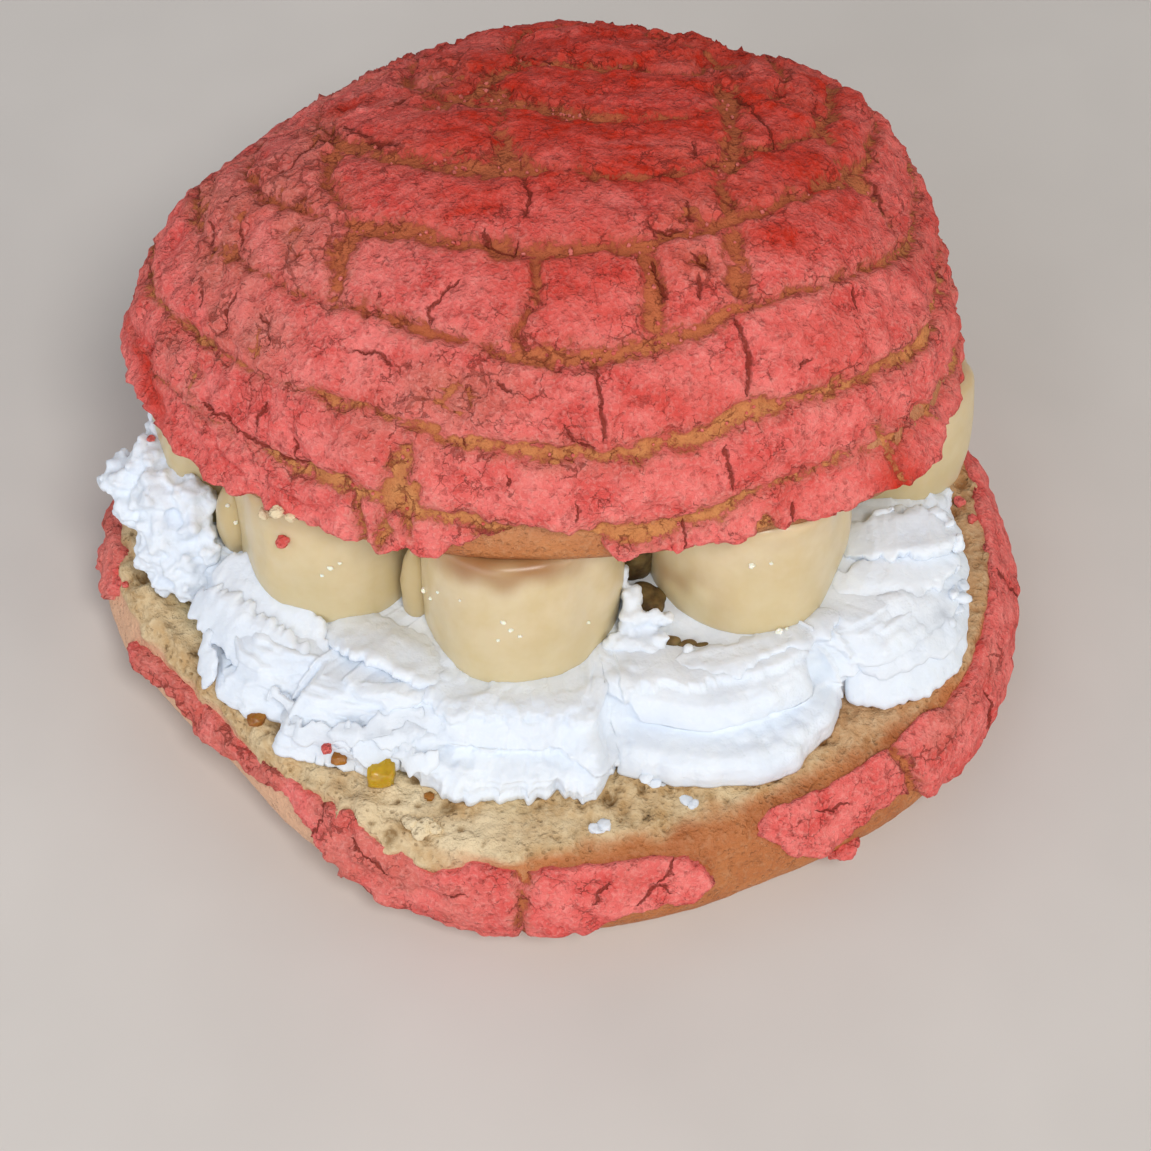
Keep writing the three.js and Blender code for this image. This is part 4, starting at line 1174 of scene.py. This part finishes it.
def creamSheet():
    even = np.arange(cream["steps"]) / cream["steps"] * fullTurn
    turn = signedTurn(even - cream["frontPull"] * np.cos(even))
    slope = np.linspace(0, 1, cream["slope"])
    beyond = 1 + np.linspace(0, 1, cream["flat"] + 1)[1:] ** 0.8
    share, turn = np.meshgrid(np.concatenate([slope, beyond]), turn, indexing="ij")
    base = creamBase(share, turn)
    normal = gridNormals(base, np.array([0, 0, 15.0]))
    offset = creamLayers(share, turn) + creamSkin(base, share, turn)
    sheet = base + normal * offset[..., None]
    floor = np.full((cream["steps"], 1), cream["floor"])
    under = [np.concatenate([base[0, :, :2] * inset, floor], -1) for inset in (0.02, 0.3, 0.7, 0.96)]
    return closedRings(np.concatenate([np.stack(under), sheet]))


def creamFlakes():
    draw = np.random.default_rng(33)
    spec = cream["flakes"]
    count = spec["points"]
    swell = np.array([0.5, 0.9, 1, 0.9, 0.5])[:, None]
    bodies = []
    for k in range(spec["count"]):
        turn, share, length, half, thick = (draw.uniform(*limits) for limits in spec["ranges"])
        turns = turn + np.linspace(0, length / cream["perDegree"], count)
        shares = np.clip(share + draw.uniform(-0.12, 0.12) * np.linspace(-1, 1, count), 0.08, 1.0)
        line = creamBase(shares, turns) * np.array([1.012, 1.012, 1]) + np.array([0, 0, 0.5])
        steep = 90 - 90 * share                                 # degrees of the slope there
        path = np.concatenate([line, half * swell, thick * np.ones((count, 1))], -1)
        bodies.append(ribbonBody(path, steep - 14, spec["tear"], 1400 + 7 * k, fine=10, steps=18))
    return joined(bodies)


def alongPath(points, count):        # a smooth line through points that have any number of values
    points = np.asarray(points, float)
    last = len(points) - 1
    walk = np.linspace(0, last, count)
    k = np.minimum(walk.astype(int), last - 1)
    return curve(*(points[np.clip(k + step, 0, last)] for step in (-1, 0, 1, 2)), (walk - k)[:, None])


def squared(wave, power):            # a sine or cosine pushed out towards a square's sides
    return np.sign(wave) * np.abs(wave) ** power


# a flattened roll of cream; its outer edge hangs down and is torn
def ribbonBody(path, lean, tear, seed, fine=26, steps=36, lobes=1.1, square=0.8):
    line = alongPath(path, fine * len(path))
    heading = np.gradient(line[:, :2], axis=0)
    heading /= np.linalg.norm(heading, axis=1, keepdims=True)
    outward = np.stack([heading[:, 1], -heading[:, 0], 0 * heading[:, 0]], -1)
    outward *= np.sign(np.sum(outward[:, :2] * line[:, :2]))
    tip = math.radians(lean)
    across = outward * math.cos(tip) - np.array([0, 0, math.sin(tip)])
    thick = outward * math.sin(tip) + np.array([0, 0, math.cos(tip)])
    turn = np.arange(steps) / steps * fullTurn
    taper = np.sqrt(np.maximum(1 - np.abs(np.linspace(-1, 1, len(line))) ** 7, 0.02))
    wide = squared(np.cos(turn), square)
    high = squared(np.sin(turn), square)
    along = np.cumsum(np.linalg.norm(np.gradient(line[:, :3], axis=0), axis=1))
    degrees = along / cream["perDegree"]
    ragEdge = torn(degrees, tear, seed, lobes)[:, None] * np.maximum(np.cos(turn), 0)[None] ** 2
    ragBack = torn(degrees, tear, seed + 40, lobes)[:, None] * np.maximum(-np.cos(turn), 0)[None] ** 2
    sideways = wide[None] * (line[:, 3] * taper)[:, None] + ragEdge - ragBack
    upward = high[None] * (line[:, 4] * taper)[:, None]
    grid = line[:, None, :3] + across[:, None] * sideways[..., None] + thick[:, None] * upward[..., None]
    lumps = layered(grid, seed, cream["ribbonLumps"])
    combed = np.repeat(along[:, None], steps, 1) / 0.8
    lumps = lumps + softNoise(flatPlaces(combed, sideways / 5), 1, seed + 3) * 0.07 * min(1, tear * 2)
    strokes = flatPlaces(combed / 16, sideways / 1.1)           # left by the spreading knife
    lumps = lumps + softNoise(strokes, 1, seed + 5) * 0.16
    grid += thick[:, None] * (lumps * high[None])[..., None]
    return closedRings(grid)


def remeshed(points, faces, voxel):
    mesh = bpy.data.meshes.new("blend")
    mesh.from_pydata((points * mm).tolist(), [], faces)
    piece = bpy.data.objects.new("blend", mesh)
    bpy.context.scene.collection.objects.link(piece)
    change = piece.modifiers.new("skin", "REMESH")
    change.mode = "VOXEL"
    change.voxel_size = voxel * mm
    bpy.context.view_layer.update()
    result = bpy.data.meshes.new_from_object(piece.evaluated_get(bpy.context.evaluated_depsgraph_get()))
    bpy.data.objects.remove(piece)
    bpy.data.meshes.remove(mesh)
    places = np.empty(len(result.vertices) * 3)
    result.vertices.foreach_get("co", places)
    normals = np.empty(len(result.vertices) * 3)
    result.vertices.foreach_get("normal", normals)
    faces = [list(face.vertices) for face in result.polygons]
    bpy.data.meshes.remove(result)
    return places.reshape(-1, 3) / mm, normals.reshape(-1, 3), faces


def ballGrid(low, rows, steps):      # rings of a ball of radius 1, from this share of the way down
    rise = np.linspace(low, 1 - low, rows) * math.pi
    rise, turn = np.meshgrid(rise, np.arange(steps) / steps * fullTurn, indexing="ij")
    return np.stack([np.sin(rise) * np.cos(turn), np.sin(rise) * np.sin(turn), np.cos(rise)], -1)


def lumpBody(x, y, z, wide, deep, tall, seed, rough=1.0):
    ball = ballGrid(0.06, 18, 28)
    grid = ball * np.array([wide, deep, tall]) + np.array([x, y, z])
    first, _, _ = cellNoise(grid, 3.0, seed)
    grid += ball * (0.9 - first * 0.7)[..., None] * rough
    return closedRings(grid)


def lumpBodies(lumps, seed, rough=1.0):
    return joined([lumpBody(*lump, seed + 5 * k, rough) for k, lump in enumerate(lumps)])


def tuftBody(lumps, curd, seed):     # lumps run together, with a broken, curdled skin
    points, normals, faces = remeshed(*lumpBodies(lumps, seed), cream["voxel"])
    first, _, _ = cellNoise(points, cream["curdSize"], seed + 90)
    small, _, _ = cellNoise(points, cream["smallCurd"], seed + 94)
    lift = curd * ((0.75 - first) * 0.55 + (0.35 - small) * 0.35) + softNoise(points, 0.7, seed + 98) * 0.12
    return points + normals * lift[:, None], faces


def creamPieces():
    settle(newPiece("creamFilling", *creamSheet(), creamWhite), "cream", "whipped_cream")
    ribbons = [ribbonBody(seed=900 + 50 * k, **spec) for k, spec in enumerate(cream["ribbons"])]
    settle(newPiece("creamRibbons", *joined(ribbons), creamWhite), "cream")
    settle(newPiece("creamFlakes", *creamFlakes(), creamWhite), "cream")
    tufts = [tuftBody(cream[label], curd, seed) for label, curd, seed in cream["tufts"]]
    settle(newPiece("creamTufts", *joined(tufts), creamWhite), "cream")


# banana slices, each standing square to the upper half's cut face

# shade is painted shade in the green tone, set higher for slices that lie in shadow
slices = [
    {"x": -44.5, "y": 4, "radius": 8, "height": 18, "lobe": 0.4, "shade": 0.25},
    {"x": -29.2, "y": -8, "radius": 11.4, "height": 19, "lobe": 1.1, "shade": 0.1},
    {"x": -5.6, "y": -15.8, "radius": 12.6, "height": 20.5, "lobe": 0.2, "shade": 0.0},
    {"x": 23, "y": -8.4, "radius": 12.8, "height": 18.5, "lobe": 0.8, "shade": 0.0},
    {"x": 40.5, "y": 11, "radius": 11.8, "height": 17, "lobe": 1.6, "shade": 0.1},
    {"x": 25, "y": 33, "radius": 11.6, "height": 13, "lobe": 0.5, "shade": 0.2},
    {"x": 0, "y": 37.5, "radius": 12.4, "height": 12.5, "lobe": 1.3, "shade": 0.0},
    {"x": -24, "y": 32, "radius": 11, "height": 13, "lobe": 0.9, "shade": 0.1},
    {"x": -40.8, "y": 20.7, "radius": 8, "height": 15, "lobe": 0.1, "shade": 0.3},
]
sliceShape = {"gap": 0.3, "round": 1.4, "lobeShare": 0.03, "ripple": 0.012, "belly": 0.035, "slim": 0.02,
              "steps": 120, "bendRows": 7, "wallRows": 30, "flatRows": 6,
              "dents": [(9, 0.55, 0), (4, 0.22, 1)], "fibres": [(1.4, 0.08, 2), (4, 0.3, 8)]}


def sliceProfile(radius, height):    # reach and height, up the slice from the middle of its foot
    soft = sliceShape["round"]
    core = radius - soft
    bend = np.linspace(0, math.pi / 2, sliceShape["bendRows"])[1:]
    flat = np.linspace(0.1, 1, sliceShape["flatRows"])
    profile = [(core * share, -height) for share in flat]
    profile += [(core + soft * math.sin(a), soft - soft * math.cos(a) - height) for a in bend]
    profile += [(radius, up) for up in np.linspace(soft - height, -soft, sliceShape["wallRows"])[1:-1]]
    profile += [(core + soft * math.cos(a), -soft + soft * math.sin(a)) for a in bend - bend[0]]
    profile += [(core * share, 0) for share in flat[::-1]]
    return np.array(profile)


def slicePiece(number, spec):
    radius, height, lobe = spec["radius"], spec["height"], spec["lobe"]
    profile = sliceProfile(radius, height)
    angle = np.arange(sliceShape["steps"]) / sliceShape["steps"] * fullTurn
    lobes = 1 + sliceShape["lobeShare"] * np.cos(3 * (angle - lobe))
    lobes = lobes + sliceShape["ripple"] * np.cos(7 * angle + lobe * 9)
    rise = np.clip(1 + profile[:, 1:] / height, 0, 1)
    belly = 1 + sliceShape["belly"] * np.sin(rise * math.pi) - sliceShape["slim"]
    out = profile[:, :1] * belly * lobes[None]
    up = np.repeat(profile[:, 1:], len(angle), 1)
    grid = np.stack([out * np.cos(angle), out * np.sin(angle), up], -1)
    shifted = grid + np.array([spec["x"], spec["y"], 0]) * 3
    fibres = flatPlaces(angle[None] * radius * np.ones_like(out), up / 9)
    dents = layered(shifted, 900, sliceShape["dents"]) + layered(fibres, 900, sliceShape["fibres"])
    grid[..., :2] *= (1 + dents / radius * smooth(out, radius * 0.5, radius))[..., None]
    turn = signedTurn(angle)
    front = np.exp(-((turn + 97) / 40) ** 4)[None]
    # a band at the top of each slice, just under the upper half: brown stain and painted shadow of the upper
    # half, most across slice 3's front
    rim = smooth(up + softNoise(shifted, 3, 904) * 1.2, -4.5, -0.8)
    rim = rim * smooth(softNoise(shifted, 6, 905), -1.2, 0.0)
    stainAndShadow = rim * (0.3 + 0.6 * front if number == 3 else 0.2 * np.ones_like(front))
    if number == 4:                  # bruised at its left foot
        bruise = np.exp(-((turn + 138) / 26) ** 2)[None] * smooth(-up / height, 0.3, 0.75)
        stainAndShadow = np.maximum(stainAndShadow, 0.7 * bruise * smooth(softNoise(shifted, 3, 907), -0.8, 0.3))
    # painted shade in the green tone, growing towards each slice's foot
    shade = spec["shade"] + 0.3 * smooth(-up / height + softNoise(shifted, 6, 906) * 0.15, 0.25, 0.85)
    topY = spec["y"] - height * math.sin(upper["tilt"])
    topMiddle = (spec["x"], topY, underside(topY) - sliceShape["gap"] / math.cos(upper["tilt"]))
    points, faces = closedRings(tipped(grid, topMiddle))
    masks = {"stainAndShadow": withEnds(stainAndShadow), "shade": withEnds(shade)}
    piece = newPiece(f"bananaSlice{number}", points, faces, bananaFlesh, masks)
    settle(piece, "banana", f"banana_slice_{number}")


# dark lumps of painted shade in the hollow between slices 3 and 4, partly brown scraps of banana, and slivers
# of flesh: x, y, z and three half sizes
scrapsAndShade = [(9, -11, 31.5, 3.0, 2.4, 6.5), (10.6, -15.6, 27.6, 2.6, 2.6, 1.6), (13, -21.2, 26.5, 1.6, 1.0, 0.8),
          (15.2, -21.6, 26.4, 1.5, 0.9, 0.7), (17.2, -22, 26.4, 1.2, 0.8, 0.6)]
slivers = [(-18.2, -16.1, 30.5, 1.9, 2.0, 8.5), (-41.2, -5.2, 30.5, 2.6, 3.0, 7.0)]


def scrapPieces():
    bruiseAndShade = fruitFinish("bruiseAndShadeFinish", "7c6638", "4a3616", 0.65, 0.9)
    settle(newPiece("bananaScrapsAndShade", *lumpBodies(scrapsAndShade, 1200, 0.55), bruiseAndShade), "banana")
    points, faces = lumpBodies(slivers, 1260, 0.12)
    # the slivers lie in crevices and get painted shade
    masks = {"stainAndShadow": np.full(len(points), 0.15), "shade": np.full(len(points), 0.6)}
    settle(newPiece("bananaSlivers", points, faces, bananaFlesh, masks), "banana")


# camera, and rays from it to lay small bits on what shows at a spot of the picture

view = {"from": (1.6, -239.49, 334.13), "to": (1.6, -1.0, 13.0), "lens": 94.83, "sensor": 36.0, "frame": 1151,
        "farthest": 20}


def facing(start, aim):              # turn of a camera or lamp that looks from one point to another
    return (Vector(aim) - Vector(start)).to_track_quat("-Z", "Y").to_euler()


def makeCamera():
    camera = bpy.data.objects.new("camera", bpy.data.cameras.new("camera"))
    camera.data.lens = view["lens"]
    camera.data.sensor_width = view["sensor"]
    camera.data.clip_end = view["farthest"]
    camera.location = Vector(view["from"]) * mm
    camera.rotation_euler = facing(view["from"], view["to"])
    bpy.context.scene.collection.objects.link(camera)
    bpy.context.scene.camera = camera


def seenAt(px, py):                  # place and direction of the surface that shows at a spot of the picture
    ahead = (Vector(view["to"]) - Vector(view["from"])).normalized()
    right = Vector((1, 0, 0))
    up = right.cross(ahead)
    focus = view["lens"] / view["sensor"] * view["frame"]
    half = view["frame"] / 2
    ray = (ahead + right * ((px - half) / focus) + up * ((half - py) / focus)).normalized()
    depsgraph = bpy.context.evaluated_depsgraph_get()
    hit, spot, normal, _, _, _ = bpy.context.scene.ray_cast(depsgraph, Vector(view["from"]) * mm, ray)
    return (np.array(spot) / mm, np.array(normal)) if hit else (None, None)


def bitBody(spot, size, seed, flat=1.0, blocky=1.0, rows=12, steps=16):
    ball = ballGrid(0.07, rows, steps)
    lumps = layered(ball + seed * 7.3, seed, [(0.8, 0.4 * blocky, 0), (0.4, 0.25, 1)])
    ball = squared(ball, blocky) * np.array([1, 1, flat])
    return closedRings(ball * (size / 2) * (1 + lumps)[..., None] + np.asarray(spot))


bits = {                             # picture spot, size in millimetres
    "sugarCrumbs": [(285, 540, 1.7), (153, 438, 1.1), (845, 846, 2.4), (838, 850, 2.0), (851, 842, 1.7),
                    (832, 853, 1.3), (327, 747, 1.5), (118, 572, 1.2), (126, 585, 0.9), (960, 505, 1.5),
                    (972, 520, 1.2)],
    "creamDrops": [(648, 776, 1.8), (655, 781, 2.0), (663, 783, 1.5), (688, 802, 1.9), (693, 805, 1.3),
                   (596, 829, 1.7), (604, 826, 2.0), (960, 598, 2.2), (962, 585, 1.6), (957, 610, 1.6)],
    "amberFruit": [(258, 716, 2.4), (341, 757, 2.0), (430, 797, 1.2)],
    "yellowFruit": [(383, 770, 3.3)],
    # the juice beads are near white: painted glints on the wet slices
    "glintJuiceBeads": [(425, 590, 0.8), (431, 598, 0.5), (438, 592, 0.4), (503, 622, 0.7), (511, 630, 0.6),
                   (520, 636, 0.5), (498, 640, 0.5), (330, 568, 0.7), (322, 575, 0.5), (340, 563, 0.5),
                   (752, 565, 0.8), (771, 563, 0.5), (779, 632, 0.9), (787, 629, 0.6), (228, 505, 0.6),
                   (236, 522, 0.6), (588, 622, 0.5), (460, 600, 0.4)],
    "paleCrumbs": [(268, 512, 1.6), (280, 510, 1.8), (290, 516, 1.2), (412, 824, 2.2), (424, 832, 2.6),
                   (436, 830, 1.8)],
}


def pictureBits(label, material, slot, sunk=0.25, flat=0.8, blocky=1.0):
    bodies = []
    for k, (px, py, size) in enumerate(bits[label]):
        spot, normal = seenAt(px, py)
        if spot is None:
            print("nothing carries", label, px, py)
            continue
        bodies.append(bitBody(spot + normal * size * sunk, size, 950 + 13 * k, flat, blocky))
    points, faces = joined(bodies)
    masks = {"crumb": np.ones(len(points)), "light": np.ones(len(points))}
    settle(newPiece(label, points, faces, material, masks), slot)


grooveBits = {"count": 200, "size": (0.25, 0.6), "lift": 0.2, "rows": 6, "steps": 9}


def grooveCrumbs(lying, above):      # broken sugar crumbs left lying in the scores
    draw = np.random.default_rng(21)
    chosen = draw.choice(len(lying), grooveBits["count"], replace=False)
    bodies = []
    for k in chosen:
        out = above[k] - lying[k]
        size = draw.uniform(*grooveBits["size"])
        spot = lying[k] + out / np.linalg.norm(out) * size * grooveBits["lift"]
        bodies.append(bitBody(spot, size, int(k) % 997, rows=grooveBits["rows"], steps=grooveBits["steps"]))
    points, faces = joined(bodies)
    masks = {"crumble": np.full(len(points), 0.4)}
    settle(newPiece("grooveCrumbs", points, faces, sugarCrust, masks), "sugar_crust")


# plain floor and soft light

stage = {"floor": "d9d5d1", "floorDark": "d3cfcb", "floorDrift": 60.0, "floorRough": 0.7, "floorSize": 4.0,
         "world": 0.24, "aim": (0, 0, 0.03),
         # name, place in metres, width in metres, watts, colour
         "lights": [("key", (0.2, -0.55, 0.85), 0.3, 4.2, "fffaf4"),
                    ("fill", (-0.45, -0.85, 0.42), 0.9, 3.8, "f6f8ff"),
                    ("side", (0.75, -0.35, 0.3), 0.7, 2.1, "fffaf4"),
                    ("left", (-0.8, -0.3, 0.35), 0.7, 1.5, "fafaff"),
                    ("back", (-0.2, 0.8, 0.7), 0.7, 0.9, "ffffff")]}


def makeStage():
    material, tree, shader = newMaterial("floorFinish")
    light, dark = tone(stage["floor"]), tone(stage["floorDark"])
    drift = place(tree, driftGroup, Colour=light, Second=dark, Size=stage["floorDrift"])
    tree.links.new(drift["Colour"], shader.inputs["Base Color"])
    shader.inputs["Roughness"].default_value = stage["floorRough"]
    half = stage["floorSize"] / 2 / mm
    corners = np.array([(-half, -half, 0), (half, -half, 0), (half, half, 0), (-half, half, 0)], float)
    floor = newPiece("floor", corners, [[0, 1, 2, 3]], material)
    floor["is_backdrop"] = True
    world = bpy.data.worlds.new("studio")
    world.use_nodes = True
    sky = world.node_tree.nodes["Background"].inputs
    sky["Color"].default_value = (1, 1, 1, 1)
    sky["Strength"].default_value = stage["world"]
    bpy.context.scene.world = world
    for label, spot, width, watts, colour in stage["lights"]:
        lamp = bpy.data.lights.new(label, "AREA")
        lamp.shape = "DISK"
        lamp.size = width
        lamp.energy = watts
        lamp.color = tone(colour)[:3]
        holder = bpy.data.objects.new(label, lamp)
        holder.location = spot
        holder.rotation_euler = facing(spot, stage["aim"])
        bpy.context.scene.collection.objects.link(holder)
    bpy.context.scene.view_settings.view_transform = "Standard"


makeCamera()
bareSpots, bareAbove = topCrustPiece()
topBreadPiece()
bottomCrustPiece()
bottomBreadPiece()
creamPieces()
for k, spec in enumerate(slices):
    slicePiece(k + 1, spec)
scrapPieces()
bpy.context.view_layer.update()
pictureBits("sugarCrumbs", sugarCrust, "sugar_crust")
pictureBits("creamDrops", creamWhite, "cream", sunk=0.08, flat=0.4)
amber = fruitFinish("amberFinish", "a8701c", "8f5714")
pictureBits("amberFruit", amber, None, sunk=0.05, flat=0.6, blocky=0.7)
yellow = fruitFinish("yellowFinish", "c9a51e", "b48c14")
pictureBits("yellowFruit", yellow, None, sunk=0.1, flat=0.8, blocky=0.4)
pictureBits("paleCrumbs", bread, "bread")
# near-white beads that stand for glints on the wet slices: painted highlights, besides their real gloss
glintJuice = fruitFinish("glintJuiceFinish", "fdf9ec", "f6eeda", 0.03, 0.08)
pictureBits("glintJuiceBeads", glintJuice, "banana", sunk=0.05, flat=0.8)
grooveCrumbs(bareSpots, bareAbove)
makeStage()
print("scene ready")

[[list(corner) for corner in box] for box in (cadBox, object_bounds())]
